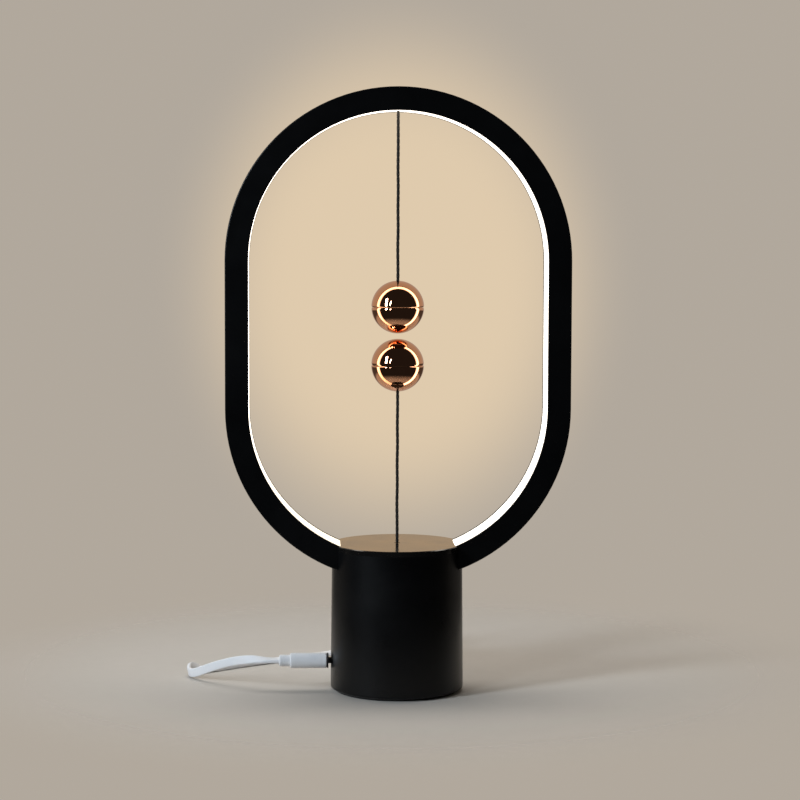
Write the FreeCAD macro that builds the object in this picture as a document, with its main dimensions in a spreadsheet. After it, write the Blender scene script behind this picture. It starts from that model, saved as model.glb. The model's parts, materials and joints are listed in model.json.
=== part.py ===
import FreeCAD, Part
import math
import os
import Sketcher

Vector = FreeCAD.Vector
Rotation = FreeCAD.Rotation
Placement = FreeCAD.Placement

doc = FreeCAD.newDocument("MagneticBalanceLamp")
sheet = doc.addObject("Spreadsheet::Sheet", "Sizes")

# Driving sizes in millimetres and degrees.
# The lamp stands with the centre of its foot at the origin, +Z up, +X to the right and -Y to the front.
SIZES = [
    # Oval ring: two half circles joined by straight runs, standing in the base
    ("ring_arc_radius", 70.3),
    ("ring_straight_run", 60.0),
    ("ring_sink", 4.8),
    ("ring_radial_depth", 9.5),
    ("ring_front_to_back", 22.0),
    ("ring_face_wall", 1.4),
    ("ring_outer_wall", 1.6),
    ("ring_edge_round", 0.5),
    ("ring_end_gap", 16.0),
    # Light strip inside the ring
    ("diffuser_recess", 0.15),
    ("diffuser_thickness", 1.6),
    ("diffuser_side_gap", 0.1),
    ("diffuser_end_drop", 3.5),
    ("diffuser_ledge_width", 1.0),
    ("diffuser_ledge_depth", 1.2),
    ("led_strip_width", 10.0),
    ("led_strip_thickness", 0.3),
    ("led_strip_end_drop", 9.0),
    ("led_chip_length", 2.8),
    ("led_chip_width", 3.5),
    ("led_chip_height", 0.8),
    ("led_chip_spacing", 10.0),
    # Balls and their cords
    ("ball_diameter", 21.6),
    ("ball_gap", 2.2),
    ("ball_wall", 1.0),
    ("ball_seam", 0.12),
    ("lower_ball_rise", 73.4),
    ("cord_diameter", 1.2),
    ("cord_clearance", 0.3),
    ("upper_bead_diameter", 1.3),
    ("lower_bead_diameter", 1.3),
    ("bead_drop_from_rim", 0.3),
    ("bead_rise_from_plate", 0.7),
    ("magnet_diameter", 10.0),
    ("magnet_thickness", 4.0),
    ("magnet_depth", 8.2),
    ("core_diameter", 13.2),
    ("core_top", 6.0),
    ("core_bottom", 7.0),
    ("knot_diameter", 3.0),
    ("knot_offset", 1.2),
    ("knot_room", 0.2),
    # Cord fixing at the top of the ring
    ("bushing_diameter", 4.8),
    ("bushing_recess", 0.8),
    ("bushing_height", 3.75),
    ("lower_bushing_height", 1.35),
    ("bushing_room", 0.2),
    ("bridge_length", 12.0),
    ("bridge_thickness", 2.0),
    ("ring_knot_diameter", 2.2),
    # Base
    ("base_height", 61.0),
    ("base_top_radius", 26.8),
    ("base_bottom_radius", 27.4),
    ("base_wall", 2.0),
    ("base_bottom_round", 1.1),
    ("foot_height", 1.0),
    ("foot_inset", 2.4),
    ("top_plate_thickness", 2.2),
    ("top_plate_chamfer", 0.3),
    ("slot_room", 0.1),
    ("cord_hole_diameter", 2.4),
    ("plate_boss_diameter", 5.0),
    ("plate_boss_side", 9.0),
    ("plate_boss_wall_gap", 4.4),
    ("small_screw_diameter", 1.8),
    ("small_screw_head", 3.6),
    ("small_screw_head_height", 1.2),
    ("post_diameter", 5.2),
    ("post_wall_gap", 1.3),
    ("post_first_angle", 90.0),
    ("post_count", 3),
    ("bottom_cover_thickness", 2.0),
    ("cover_room", 0.15),
    ("ballast_height", 14.0),
    ("ballast_wall_gap", 1.5),
    ("ballast_bore", 10.0),
    ("ballast_post_room", 0.4),
    ("jack_notch_width", 12.0),
    ("jack_notch_depth", 15.4),
    # Ring saddle and switch under it
    ("saddle_drop", 19.0),
    ("saddle_thickness", 2.5),
    ("saddle_wall_gap", 0.7),
    ("saddle_screw_room", 0.2),
    ("saddle_block_width", 22.0),
    ("saddle_post_length", 15.6),
    ("saddle_post_width", 14.0),
    ("saddle_bore", 5.2),
    ("wire_hole_side", 4.0),
    ("wire_hole_back", 8.5),
    ("wire_diameter", 1.2),
    ("wire_rise", 2.0),
    ("wire_reach", 11.0),
    ("jack_wire_inset", 1.5),
    ("jack_wire_side", 2.0),
    ("bracket_thickness", 1.0),
    ("bracket_left", 12.0),
    ("bracket_right", 12.0),
    ("bracket_width", 13.0),
    ("ear_length", 5.0),
    ("ear_gap", 6.8),
    ("ear_drop", 8.0),
    ("lever_pivot_reach", 9.0),
    ("lever_axis_drop", 6.9),
    ("lever_thickness", 1.0),
    ("lever_width", 6.0),
    ("lever_end_reach", 9.5),
    ("lever_boss_diameter", 4.2),
    ("lever_hole_diameter", 2.6),
    ("pin_diameter", 1.5),
    ("pin_room", 0.05),
    ("pin_length", 10.4),
    ("stop_diameter", 3.2),
    ("switch_reach", 5.2),
    ("switch_length", 5.8),
    ("switch_width", 12.8),
    ("switch_height", 4.2),
    ("button_diameter", 1.6),
    ("button_length", 2.3),
    ("button_room", 0.1),
    ("spring_diameter", 4.6),
    ("spring_wire", 0.45),
    ("spring_half_turns", 8),
    ("spring_end_room", 0.1),
    # Driver board and jack
    ("board_height", 19.5),
    ("board_wall_gap", 4.0),
    ("board_thickness", 1.2),
    ("standoff_diameter", 4.0),
    ("standoff_circle_radius", 15.0),
    ("jack_axis_height", 12.1),
    ("jack_hole_diameter", 6.0),
    ("jack_nose_diameter", 5.8),
    ("jack_nose_setback", 0.8),
    ("jack_nose_length", 1.8),
    ("jack_length", 11.1),
    ("jack_width", 8.0),
    ("jack_height", 7.6),
    ("jack_bore_diameter", 2.7),
    ("jack_bore_depth", 8.9),
    ("jack_pin_diameter", 0.6),
    ("jack_pin_setback", 2.0),
    # Plug and flat power lead
    ("plug_stand_off", 1.0),
    ("barrel_diameter", 2.5),
    ("barrel_bore", 0.9),
    ("barrel_length", 9.3),
    ("collar_diameter", 6.2),
    ("collar_thickness", 0.6),
    ("plug_body_diameter", 6.3),
    ("plug_body_length", 15.15),
    ("plug_body_round", 0.4),
    ("relief_diameter", 4.8),
    ("relief_length", 4.55),
    ("lead_width", 3.6),
    ("coil_middle_radius", 18.4),
    ("coil_half_turns", 3),
    ("coil_layers", 4),
    ("coil_gap", 0.46),
    ("coil_climb_shift", 0.6),
    ("coil_centre_x", 2.5),
    ("coil_behind_base", 29.6),
    ("coil_start_angle", 110.0),
    ("tail_start_run", 7.0),
    ("usb_relief_diameter", 4.6),
    ("usb_relief_length", 5.0),
    ("usb_grip_length", 20.0),
    ("usb_grip_width", 15.0),
    ("usb_grip_height", 8.0),
    ("usb_grip_round", 1.6),
    ("usb_shell_length", 12.0),
    ("usb_shell_width", 12.0),
    ("usb_shell_height", 4.5),
    ("usb_shell_wall", 0.3),
    ("usb_tongue_height", 1.9),
    ("usb_tongue_setback", 1.0),
    ("usb_contact_width", 1.0),
    ("usb_contact_length", 9.0),
    ("usb_contact_spacing", 2.4),
    ("usb_contact_thickness", 0.1),
]


class Size:
    """A size written once as sheet text, with its present value beside it."""

    def __init__(self, text, value):
        self.text = text
        self.value = value

    def join(self, sign, other, value):
        other_text = other.text if isinstance(other, Size) else repr(float(other))
        return Size("(%s %s %s)" % (self.text, sign, other_text), value)

    def __add__(self, other):
        return self.join("+", other, self.value + number(other))

    def __sub__(self, other):
        return self.join("-", other, self.value - number(other))

    def __mul__(self, other):
        return self.join("*", other, self.value * number(other))

    def __truediv__(self, other):
        return self.join("/", other, self.value / number(other))

    def __neg__(self):
        return Size("(0 - %s)" % self.text, -self.value)


def number(value):
    return value.value if isinstance(value, Size) else float(value)


def root(value):
    """Square root of a size."""
    return Size("sqrt(%s)" % value.text, math.sqrt(value.value))


def lesser(first, second):
    return Size("min(%s; %s)" % (first.text, second.text), min(first.value, second.value))


def fill_sheet():
    for row, (name, value) in enumerate(SIZES, start=1):
        sheet.set("A%d" % row, name)
        sheet.set("B%d" % row, str(value))
        sheet.setAlias("B%d" % row, name)
    doc.recompute()


def size(name):
    return Size("Sizes.%s" % name, float(sheet.get(name)))


fill_sheet()
ZERO = Size("0", 0.0)
pieces = []


def keep(piece, label):
    """Names a finished sub-part and lists it for export."""
    piece.Label = label
    pieces.append(piece)
    return piece


def bind(item, prop, value):
    item.setExpression(prop, value.text)


def bind_place(item, x=None, y=None, z=None):
    for letter, value in (("x", x), ("y", y), ("z", z)):
        if value is not None:
            bind(item, "Placement.Base.%s" % letter, value)


# Plain solids and their unions and cuts

def box(name, length, width, height, x, y, z):
    item = doc.addObject("Part::Box", name)
    bind(item, "Length", length)
    bind(item, "Width", width)
    bind(item, "Height", height)
    bind_place(item, x, y, z)
    return item


AXIS_TURN = {
    "z": Rotation(),
    "x": Rotation(Vector(0, 1, 0), 90),
    "y": Rotation(Vector(1, 0, 0), -90),
}


def rod(name, radius, height, x, y, z, axis="z"):
    """A round bar that starts at the given point and runs along +axis."""
    item = doc.addObject("Part::Cylinder", name)
    item.Placement = Placement(Vector(), AXIS_TURN[axis])
    bind(item, "Radius", radius)
    bind(item, "Height", height)
    bind_place(item, x, y, z)
    return item


def ball(name, radius, x, y, z):
    item = doc.addObject("Part::Sphere", name)
    bind(item, "Radius", radius)
    bind_place(item, x, y, z)
    return item


def union(name, parts):
    item = doc.addObject("Part::MultiFuse", name)
    item.Shapes = parts
    item.Refine = True
    return item


def cut(name, base, tool):
    item = doc.addObject("Part::Cut", name)
    item.Base = base
    item.Tool = tool
    item.Refine = True
    return item


def common(name, first, second):
    item = doc.addObject("Part::Common", name)
    item.Base = first
    item.Tool = second
    return item


def group(label, solids):
    """One node of separate like solids."""
    item = doc.addObject("Part::Feature", label)
    item.Shape = Part.makeCompound(solids)
    return keep(item, label)


# Bodies, their sketches and features

def new_body(label):
    body = doc.addObject("PartDesign::Body", label)
    return keep(body, label)


def new_sketch(body, role, name, lift=None):
    sketch = body.newObject("Sketcher::SketchObject", name)
    support = [part for part in body.Origin.OriginFeatures if part.Role == role][0]
    sketch.AttachmentSupport = (support, "")
    sketch.MapMode = "FlatFace"
    if lift is not None:
        bind(sketch, "AttachmentOffset.Base.z", lift)
    return sketch


# A sketch numbers the points of an edge: its start is point 1, its end point 2 and its centre point 3.
ORIGIN = (-1, 1)


def tie(sketch, value, *constraint):
    """Adds a constraint whose value follows a size."""
    index = sketch.addConstraint(Sketcher.Constraint(*constraint, number(value)))
    bind(sketch, "Constraints[%d]" % index, value)


def locate(sketch, geometry, point, x, y):
    """Ties a point of a sketch to two sizes measured from the sketch's origin."""
    tie(sketch, x, "DistanceX", *ORIGIN, geometry, point)
    tie(sketch, y, "DistanceY", *ORIGIN, geometry, point)


def add_circle(sketch, radius, x=ZERO, y=ZERO):
    centre = Vector(number(x), number(y), 0)
    index = sketch.addGeometry(Part.Circle(centre, Vector(0, 0, 1), number(radius)), False)
    locate(sketch, index, 3, x, y)
    tie(sketch, radius, "Radius", index)


def add_outline(sketch, corners):
    """A closed outline of straight edges through corners given as pairs of sizes."""
    points = [Vector(number(x), number(y), 0) for x, y in corners]
    count = len(points)
    edges = []
    for index in range(count):
        line = Part.LineSegment(points[index], points[(index + 1) % count])
        edges.append(sketch.addGeometry(line, False))
    for edge, following in zip(edges, edges[1:] + edges[:1]):
        sketch.addConstraint(Sketcher.Constraint("Coincident", edge, 2, following, 1))
    for edge, (x, y) in zip(edges, corners):
        locate(sketch, edge, 1, x, y)


def add_rectangle(sketch, left, low, right, high):
    add_outline(sketch, [(left, low), (right, low), (right, high), (left, high)])


def add_oval(sketch, radius, low, high):
    """Two half circles of one radius joined by upright lines, seen from the front."""
    reach = number(radius)
    bottom = number(low)
    top = number(high)
    right = sketch.addGeometry(Part.LineSegment(Vector(reach, bottom, 0), Vector(reach, top, 0)), False)
    left = sketch.addGeometry(Part.LineSegment(Vector(-reach, top, 0), Vector(-reach, bottom, 0)), False)
    upper_circle = Part.Circle(Vector(0, top, 0), Vector(0, 0, 1), reach)
    lower_circle = Part.Circle(Vector(0, bottom, 0), Vector(0, 0, 1), reach)
    upper = sketch.addGeometry(Part.ArcOfCircle(upper_circle, 0, math.pi), False)
    lower = sketch.addGeometry(Part.ArcOfCircle(lower_circle, math.pi, 2 * math.pi), False)
    for edge, following in ((right, upper), (upper, left), (left, lower), (lower, right)):
        sketch.addConstraint(Sketcher.Constraint("Coincident", edge, 2, following, 1))
    locate(sketch, right, 1, radius, low)
    locate(sketch, right, 2, radius, high)
    locate(sketch, left, 1, -radius, high)
    locate(sketch, left, 2, -radius, low)
    for arc, level in ((upper, high), (lower, low)):
        tie(sketch, level, "DistanceY", *ORIGIN, arc, 3)


def pad(body, sketch, name, length, reverse=False):
    feature = body.newObject("PartDesign::Pad", name)
    feature.Profile = sketch
    feature.Reversed = reverse
    bind(feature, "Length", length)
    body.Tip = feature
    return feature


def pocket(body, sketch, name, length, reverse=False):
    """Cuts the sketch's outline out of the body and makes sure that something was cut."""
    doc.recompute()
    before = body.Shape.Volume
    feature = body.newObject("PartDesign::Pocket", name)
    feature.Profile = sketch
    feature.Reversed = reverse
    bind(feature, "Length", length)
    body.Tip = feature
    doc.recompute()
    if body.Shape.Volume > before - 1e-3:
        raise RuntimeError(name + " cuts nothing")
    return feature


def revolve(body, sketch, name, axis="V_Axis"):
    feature = body.newObject("PartDesign::Revolution", name)
    feature.Profile = sketch
    feature.ReferenceAxis = (sketch, [axis])
    feature.Angle = 360
    body.Tip = feature
    return feature


def turned(label, corners, axis="V_Axis"):
    """A body turned from an outline drawn on one side of its axis."""
    body = new_body(label)
    sketch = new_sketch(body, "XZ_Plane", label + "_outline")
    add_outline(sketch, corners)
    revolve(body, sketch, label + "_turn", axis)
    return body


def round_edges(body, name, radius, wanted):
    """Rounds the edges of the body's last feature that the test picks out."""
    doc.recompute()
    base = body.Tip
    names = ["Edge%d" % (index + 1) for index, edge in enumerate(base.Shape.Edges) if wanted(edge)]
    feature = body.newObject("PartDesign::Fillet", name)
    feature.Base = (base, names)
    bind(feature, "Radius", radius)
    body.Tip = feature
    return feature


def circle_pattern(body, feature, name, count):
    pattern = body.newObject("PartDesign::PolarPattern", name)
    pattern.Originals = [feature]
    upright = [part for part in body.Origin.OriginFeatures if part.Role == "Z_Axis"][0]
    pattern.Axis = (upright, [""])
    pattern.Angle = 360
    bind(pattern, "Occurrences", count)
    body.Tip = pattern
    return pattern


# Shared levels and radii worked out from the driving sizes

PLATE_TOP = size("base_height")
PLATE_UNDER = PLATE_TOP - size("top_plate_thickness")
RING_OUTER = size("ring_arc_radius")
RING_INNER = RING_OUTER - size("ring_radial_depth")
LOW_CENTRE = PLATE_TOP - size("ring_sink") + RING_INNER
HIGH_CENTRE = LOW_CENTRE + size("ring_straight_run")
HALF_DEPTH = size("ring_front_to_back") / 2
CHANNEL_WIDTH = size("ring_front_to_back") - size("ring_face_wall") * 2
RING_CUT = size("slot_room") * 2 + size("ring_front_to_back")
DIFFUSER_INNER = RING_INNER + size("diffuser_recess")
DIFFUSER_OUTER = DIFFUSER_INNER + size("diffuser_thickness")
LED_BACK = RING_OUTER - size("ring_outer_wall")
LED_FACE = LED_BACK - size("led_strip_thickness")
LED_END = PLATE_TOP - size("led_strip_end_drop")
COVER_TOP = size("foot_height") + size("bottom_cover_thickness")
TAPER = (size("base_bottom_radius") - size("base_top_radius")) / (PLATE_TOP - size("foot_height"))
CORD_RADIUS = size("cord_diameter") / 2
BALL_RADIUS = size("ball_diameter") / 2
LOWER_BALL = PLATE_TOP + size("lower_ball_rise")
UPPER_BALL = LOWER_BALL + size("ball_diameter") + size("ball_gap")
UPPER_PIVOT = HIGH_CENTRE + RING_INNER + size("bead_drop_from_rim")
LOWER_PIVOT = PLATE_TOP + size("bead_rise_from_plate")
SADDLE_LOW = PLATE_TOP - size("saddle_drop")
SADDLE_TOP = SADDLE_LOW + size("saddle_thickness")
BRACKET_LOW = SADDLE_LOW - size("bracket_thickness")
BALLAST_TOP = COVER_TOP + size("ballast_height")
BOARD_LOW = size("board_height")
BOARD_TOP = BOARD_LOW + size("board_thickness")
JACK_AXIS = size("jack_axis_height")


def base_radius(height):
    """Outer radius of the tapered base at a height."""
    return size("base_bottom_radius") - (height - size("foot_height")) * TAPER


def inside_radius(low, high):
    """Radius that is free inside the base's wall from one height to another."""
    return lesser(base_radius(low), base_radius(high)) - size("base_wall")


POST_RADIUS = size("post_diameter") / 2
POST_CIRCLE = inside_radius(COVER_TOP, SADDLE_LOW) - POST_RADIUS - size("post_wall_gap")
PLATE_BOSS_BACK = inside_radius(SADDLE_TOP, PLATE_UNDER) - POST_RADIUS - size("plate_boss_wall_gap")
JACK_NOSE_FACE = base_radius(JACK_AXIS) - size("jack_nose_setback")
JACK_FRONT = JACK_NOSE_FACE - size("jack_nose_length")
JACK_BACK = JACK_FRONT - size("jack_length")
PLUG_FACE = base_radius(JACK_AXIS) + size("plug_stand_off")
PLUG_BODY_FRONT = PLUG_FACE + size("collar_thickness")
RELIEF_FRONT = PLUG_BODY_FRONT + size("plug_body_length")
LEAD_START = RELIEF_FRONT + size("relief_length")


def post_angles():
    count = int(number(size("post_count")))
    return [math.radians(number(size("post_first_angle")) + 360.0 * turn / count) for turn in range(count)]


def post_points(radius):
    return [(number(radius) * math.cos(turn), number(radius) * math.sin(turn)) for turn in post_angles()]


def first_post():
    """Centre of the first of the base's posts."""
    turn = post_angles()[0]
    return POST_CIRCLE * math.cos(turn), POST_CIRCLE * math.sin(turn)


def plate_boss_points():
    side = size("plate_boss_side")
    return [(ZERO, -PLATE_BOSS_BACK), (side, PLATE_BOSS_BACK), (-side, PLATE_BOSS_BACK)]


# Ring: front and rear shells of an open channel, the diffuser and the light strip

def is_outer_front_edge(edge, level):
    """Edges of the ring's outer outline that lie on its face at one depth."""
    if any(abs(vertex.Y - level) > 1e-4 for vertex in edge.Vertexes):
        return False
    middle = edge.valueAt((edge.FirstParameter + edge.LastParameter) / 2)
    nearest = min(max(middle.z, number(LOW_CENTRE)), number(HIGH_CENTRE))
    return abs(math.hypot(middle.x, middle.z - nearest) - number(RING_OUTER)) < 1e-3


def ring_shell(label, front):
    side = Size("1", 1.0) if front else Size("(0 - 1)", -1.0)
    body = new_body(label)
    wall = new_sketch(body, "XZ_Plane", label + "_wall_outline")
    add_oval(wall, RING_OUTER, LOW_CENTRE, HIGH_CENTRE)
    add_oval(wall, LED_BACK, LOW_CENTRE, HIGH_CENTRE)
    pad(body, wall, label + "_wall", HALF_DEPTH, reverse=not front)
    face = new_sketch(body, "XZ_Plane", label + "_face_outline", side * HALF_DEPTH)
    add_oval(face, RING_OUTER, LOW_CENTRE, HIGH_CENTRE)
    add_oval(face, RING_INNER, LOW_CENTRE, HIGH_CENTRE)
    pad(body, face, label + "_face", size("ring_face_wall"), reverse=front)
    ledge_level = side * (HALF_DEPTH - size("ring_face_wall"))
    ledge = new_sketch(body, "XZ_Plane", label + "_ledge_outline", ledge_level)
    ledge_inner = DIFFUSER_OUTER + size("diffuser_side_gap")
    add_oval(ledge, ledge_inner + size("diffuser_ledge_depth"), LOW_CENTRE, HIGH_CENTRE)
    add_oval(ledge, ledge_inner, LOW_CENTRE, HIGH_CENTRE)
    pad(body, ledge, label + "_ledge", size("diffuser_ledge_width"), reverse=front)
    gap = new_sketch(body, "XZ_Plane", label + "_end_gap_outline", side * HALF_DEPTH)
    half_gap = size("ring_end_gap") / 2
    add_rectangle(gap, -half_gap, LOW_CENTRE - RING_OUTER - 1, half_gap, LOW_CENTRE - RING_INNER + 1)
    pocket(body, gap, label + "_end_gap", HALF_DEPTH, reverse=not front)
    level = -number(side) * number(HALF_DEPTH)
    round_edges(body, label + "_edge_round", size("ring_edge_round"),
                lambda edge: is_outer_front_edge(edge, level))
    return body


def oval_band(label, outer, inner, width, cut_height):
    """A band that follows the ring, centred front to back, open below a height."""
    body = new_body(label)
    outline = new_sketch(body, "XZ_Plane", label + "_outline", width / 2)
    add_oval(outline, outer, LOW_CENTRE, HIGH_CENTRE)
    add_oval(outline, inner, LOW_CENTRE, HIGH_CENTRE)
    pad(body, outline, label + "_band", width, reverse=True)
    opening = new_sketch(body, "XZ_Plane", label + "_opening_outline", width / 2)
    add_rectangle(opening, -outer, LOW_CENTRE - outer - 1, outer, cut_height)
    pocket(body, opening, label + "_opening", width)
    return body


def make_diffuser():
    width = CHANNEL_WIDTH - size("diffuser_side_gap") * 2
    end_height = PLATE_TOP - size("diffuser_end_drop")
    body = oval_band("ring_diffuser", DIFFUSER_OUTER, DIFFUSER_INNER, width, end_height)
    hole = new_sketch(body, "XY_Plane", "diffuser_cord_hole_outline", HIGH_CENTRE)
    add_circle(hole, size("bushing_diameter") / 2 + size("bushing_room"))
    pocket(body, hole, "diffuser_cord_hole", RING_OUTER, reverse=True)
    return body


def chip_places(spacing, radius, low_limit):
    """Points and outward directions of the light chips, evenly spaced both ways from the top."""
    places = []
    straight = number(size("ring_straight_run"))
    quarter = radius * math.pi / 2
    top = number(HIGH_CENTRE)
    low = number(LOW_CENTRE)
    distance = spacing / 2
    while True:
        if distance < quarter:
            angle = math.pi / 2 - distance / radius
            x, z = radius * math.cos(angle), top + radius * math.sin(angle)
        elif distance < quarter + straight:
            angle = 0.0
            x, z = radius, top - (distance - quarter)
        else:
            angle = -(distance - quarter - straight) / radius
            x, z = radius * math.cos(angle), low + radius * math.sin(angle)
        if angle < -math.pi / 2 or z < low_limit:
            return places
        places.append((x, z, angle))
        places.append((-x, z, math.pi - angle))
        distance += spacing


def make_led_chips():
    length = number(size("led_chip_length"))
    width = number(size("led_chip_width"))
    height = number(size("led_chip_height"))
    radius = number(LED_FACE) - height
    low_limit = number(LED_END) + width
    back = radius + height
    sink = back - math.sqrt(back ** 2 - (length / 2) ** 2)
    chips = []
    for x, z, angle in chip_places(number(size("led_chip_spacing")), radius, low_limit):
        chip = Part.makeBox(height, width, length, Vector(-sink, -width / 2, -length / 2))
        chip.rotate(Vector(), Vector(0, 1, 0), -math.degrees(angle))
        chip.translate(Vector(x, 0, z))
        chips.append(chip)
    group("led_chips", chips)


def make_ring():
    ring_shell("ring_front_shell", True)
    ring_shell("ring_rear_shell", False)
    make_diffuser()
    oval_band("led_strip", LED_BACK, LED_FACE, size("led_strip_width"), LED_END)
    make_led_chips()


# Cord fixing at the top of the ring

def make_ring_cord_fixing():
    mouth = HIGH_CENTRE + RING_INNER + size("bushing_recess")
    top = mouth + size("bushing_height")
    sleeve = rod("bushing_sleeve", size("bushing_diameter") / 2, size("bushing_height"), ZERO, ZERO, mouth)
    seat = ball("bushing_seat", size("upper_bead_diameter") / 2 + size("cord_clearance"),
                ZERO, ZERO, UPPER_PIVOT)
    bore = rod("bushing_bore", CORD_RADIUS, size("bushing_height"), ZERO, ZERO, mouth)
    keep(cut("upper_cord_bushing", sleeve, union("bushing_hollow", [seat, bore])), "upper_cord_bushing")
    thickness = size("bridge_thickness")
    width = CHANNEL_WIDTH - size("diffuser_ledge_width") * 2
    bar = box("bridge_bar", size("bridge_length"), width, thickness,
              -size("bridge_length") / 2, -width / 2, top - thickness)
    hole = rod("bridge_hole", size("bushing_diameter") / 2, thickness, ZERO, ZERO, top - thickness)
    keep(cut("cord_anchor_bridge", bar, hole), "cord_anchor_bridge")
    knot_radius = size("ring_knot_diameter") / 2
    stem_low = UPPER_PIVOT + size("upper_bead_diameter") / 2 + size("cord_clearance")
    stem = rod("ring_knot_stem", CORD_RADIUS, top - stem_low + knot_radius, ZERO, ZERO, stem_low)
    knot = ball("ring_knot_ball", knot_radius, ZERO, ZERO, top + knot_radius)
    keep(union("ring_cord_knot", [stem, knot]), "ring_cord_knot")


# Balls: two thin half shells, a plastic core, a disc magnet and the knot that holds the cord

def half_shell(name, radius, wall, toward_cord):
    half_seam = size("ball_seam") / 2
    skin = cut(name + "_skin", ball(name + "_outside", radius, ZERO, ZERO, ZERO),
               ball(name + "_inside", radius - wall, ZERO, ZERO, ZERO))
    low = half_seam if toward_cord else -radius
    side = box(name + "_half", radius * 2, radius * 2, radius - half_seam, -radius, -radius, low)
    half = common(name + "_cup", skin, side)
    if not toward_cord:
        return half
    hole = rod(name + "_hole", CORD_RADIUS + size("cord_clearance"), radius + 1, ZERO, ZERO, ZERO)
    return cut(name + "_drilled", half, hole)


def make_ball(prefix, centre, upside_down):
    """A ball whose cord comes in at its top, or at its bottom when upside down."""
    cord_half = half_shell(prefix + "_cord_cup", BALL_RADIUS, size("ball_wall"), True)
    magnet_half = half_shell(prefix + "_magnet_cup", BALL_RADIUS, size("ball_wall"), False)
    magnet_low = -size("magnet_depth")
    magnet_radius = size("magnet_diameter") / 2
    core_solid = rod(prefix + "_core_solid", size("core_diameter") / 2,
                     size("core_top") + size("core_bottom"), ZERO, ZERO, -size("core_bottom"))
    magnet_seat = rod(prefix + "_magnet_seat", magnet_radius, size("magnet_thickness"),
                      ZERO, ZERO, magnet_low)
    knot_room = ball(prefix + "_knot_room", size("knot_diameter") / 2 + size("knot_room"),
                     ZERO, ZERO, -size("knot_offset"))
    cord_way = rod(prefix + "_cord_way", CORD_RADIUS + size("cord_clearance"), size("core_top") + 1,
                   ZERO, ZERO, ZERO)
    hollow = union(prefix + "_core_hollow", [magnet_seat, knot_room, cord_way])
    core = cut(prefix + "_core_body", core_solid, hollow)
    magnet = rod(prefix + "_magnet_disc", magnet_radius, size("magnet_thickness"), ZERO, ZERO, ZERO)
    magnet_rise = size("magnet_depth") - size("magnet_thickness")
    knot = ball(prefix + "_knot_ball", size("knot_diameter") / 2, ZERO, ZERO, ZERO)
    for piece, label in ((cord_half, "_cord_half"), (magnet_half, "_magnet_half"), (core, "_core")):
        if upside_down:
            piece.Placement = Placement(Vector(), Rotation(Vector(1, 0, 0), 180))
        bind_place(piece, z=centre)
        keep(piece, prefix + label)
    bind_place(magnet, z=centre + magnet_rise if upside_down else centre - size("magnet_depth"))
    keep(magnet, prefix + "_magnet")
    bind_place(knot, z=centre + size("knot_offset") if upside_down else centre - size("knot_offset"))
    keep(knot, prefix + "_knot")


def make_cords_and_balls():
    gap = size("cord_clearance")
    upper_bead = size("upper_bead_diameter") / 2
    lower_bead = size("lower_bead_diameter") / 2
    knot_reach = size("knot_diameter") / 2
    keep(ball("upper_cord_bead", upper_bead, ZERO, ZERO, UPPER_PIVOT), "upper_cord_bead")
    upper_end = UPPER_BALL - size("knot_offset") + knot_reach + size("pin_room")
    upper_length = UPPER_PIVOT - upper_bead - gap - upper_end
    keep(rod("upper_cord", CORD_RADIUS, upper_length, ZERO, ZERO, upper_end), "upper_cord")
    make_ball("upper_ball", UPPER_BALL, False)
    keep(ball("lower_cord_bead", lower_bead, ZERO, ZERO, LOWER_PIVOT), "lower_cord_bead")
    lower_start = LOWER_PIVOT + lower_bead + gap
    lower_end = LOWER_BALL + size("knot_offset") - knot_reach - gap
    keep(rod("lower_cord", CORD_RADIUS, lower_end - lower_start, ZERO, ZERO, lower_start), "lower_cord")
    make_ball("lower_ball", LOWER_BALL, True)


# Base: tapered shell, top plate, ballast, bottom cover and foot pad

def make_base_shell():
    body = new_body("base_shell")
    outline = new_sketch(body, "XZ_Plane", "base_shell_outline")
    foot = size("foot_height")
    wall = size("base_wall")
    low_radius = base_radius(foot)
    high_radius = base_radius(PLATE_UNDER)
    add_outline(outline, [(low_radius - wall, foot), (low_radius, foot),
                          (high_radius, PLATE_UNDER), (high_radius - wall, PLATE_UNDER)])
    revolve(body, outline, "base_shell_wall")
    round_edges(body, "base_bottom_rounding", size("base_bottom_round"), is_base_bottom_edge)
    post = new_sketch(body, "XY_Plane", "base_post_outline", COVER_TOP)
    post_x, post_y = first_post()
    add_circle(post, POST_RADIUS, post_x, post_y)
    post_pad = pad(body, post, "base_post", SADDLE_LOW - COVER_TOP)
    circle_pattern(body, post_pad, "base_posts", size("post_count"))
    web = new_sketch(body, "XY_Plane", "post_web_outline", COVER_TOP)
    half_web = size("small_screw_diameter") / 2
    add_rectangle(web, post_x - half_web, post_y, post_x + half_web, base_radius(SADDLE_LOW) - wall / 2)
    web_pad = pad(body, web, "post_web", SADDLE_LOW - COVER_TOP)
    circle_pattern(body, web_pad, "post_webs", size("post_count"))
    for name, level, reverse in (("post_top_hole", SADDLE_LOW, False), ("post_low_hole", COVER_TOP, True)):
        hole = new_sketch(body, "XY_Plane", name + "_outline", level)
        add_circle(hole, size("small_screw_diameter") / 2, post_x, post_y)
        hole_cut = pocket(body, hole, name, size("small_screw_diameter") * 4, reverse=reverse)
        circle_pattern(body, hole_cut, name + "s", size("post_count"))
    slot = new_sketch(body, "XZ_Plane", "ring_slot_outline", RING_CUT / 2)
    add_circle(slot, RING_OUTER + size("slot_room"), ZERO, LOW_CENTRE)
    pocket(body, slot, "ring_slots", RING_CUT)
    jack = new_sketch(body, "YZ_Plane", "jack_hole_outline")
    add_circle(jack, size("jack_hole_diameter") / 2, ZERO, JACK_AXIS)
    pocket(body, jack, "jack_hole", size("base_bottom_radius") + 1)


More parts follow.
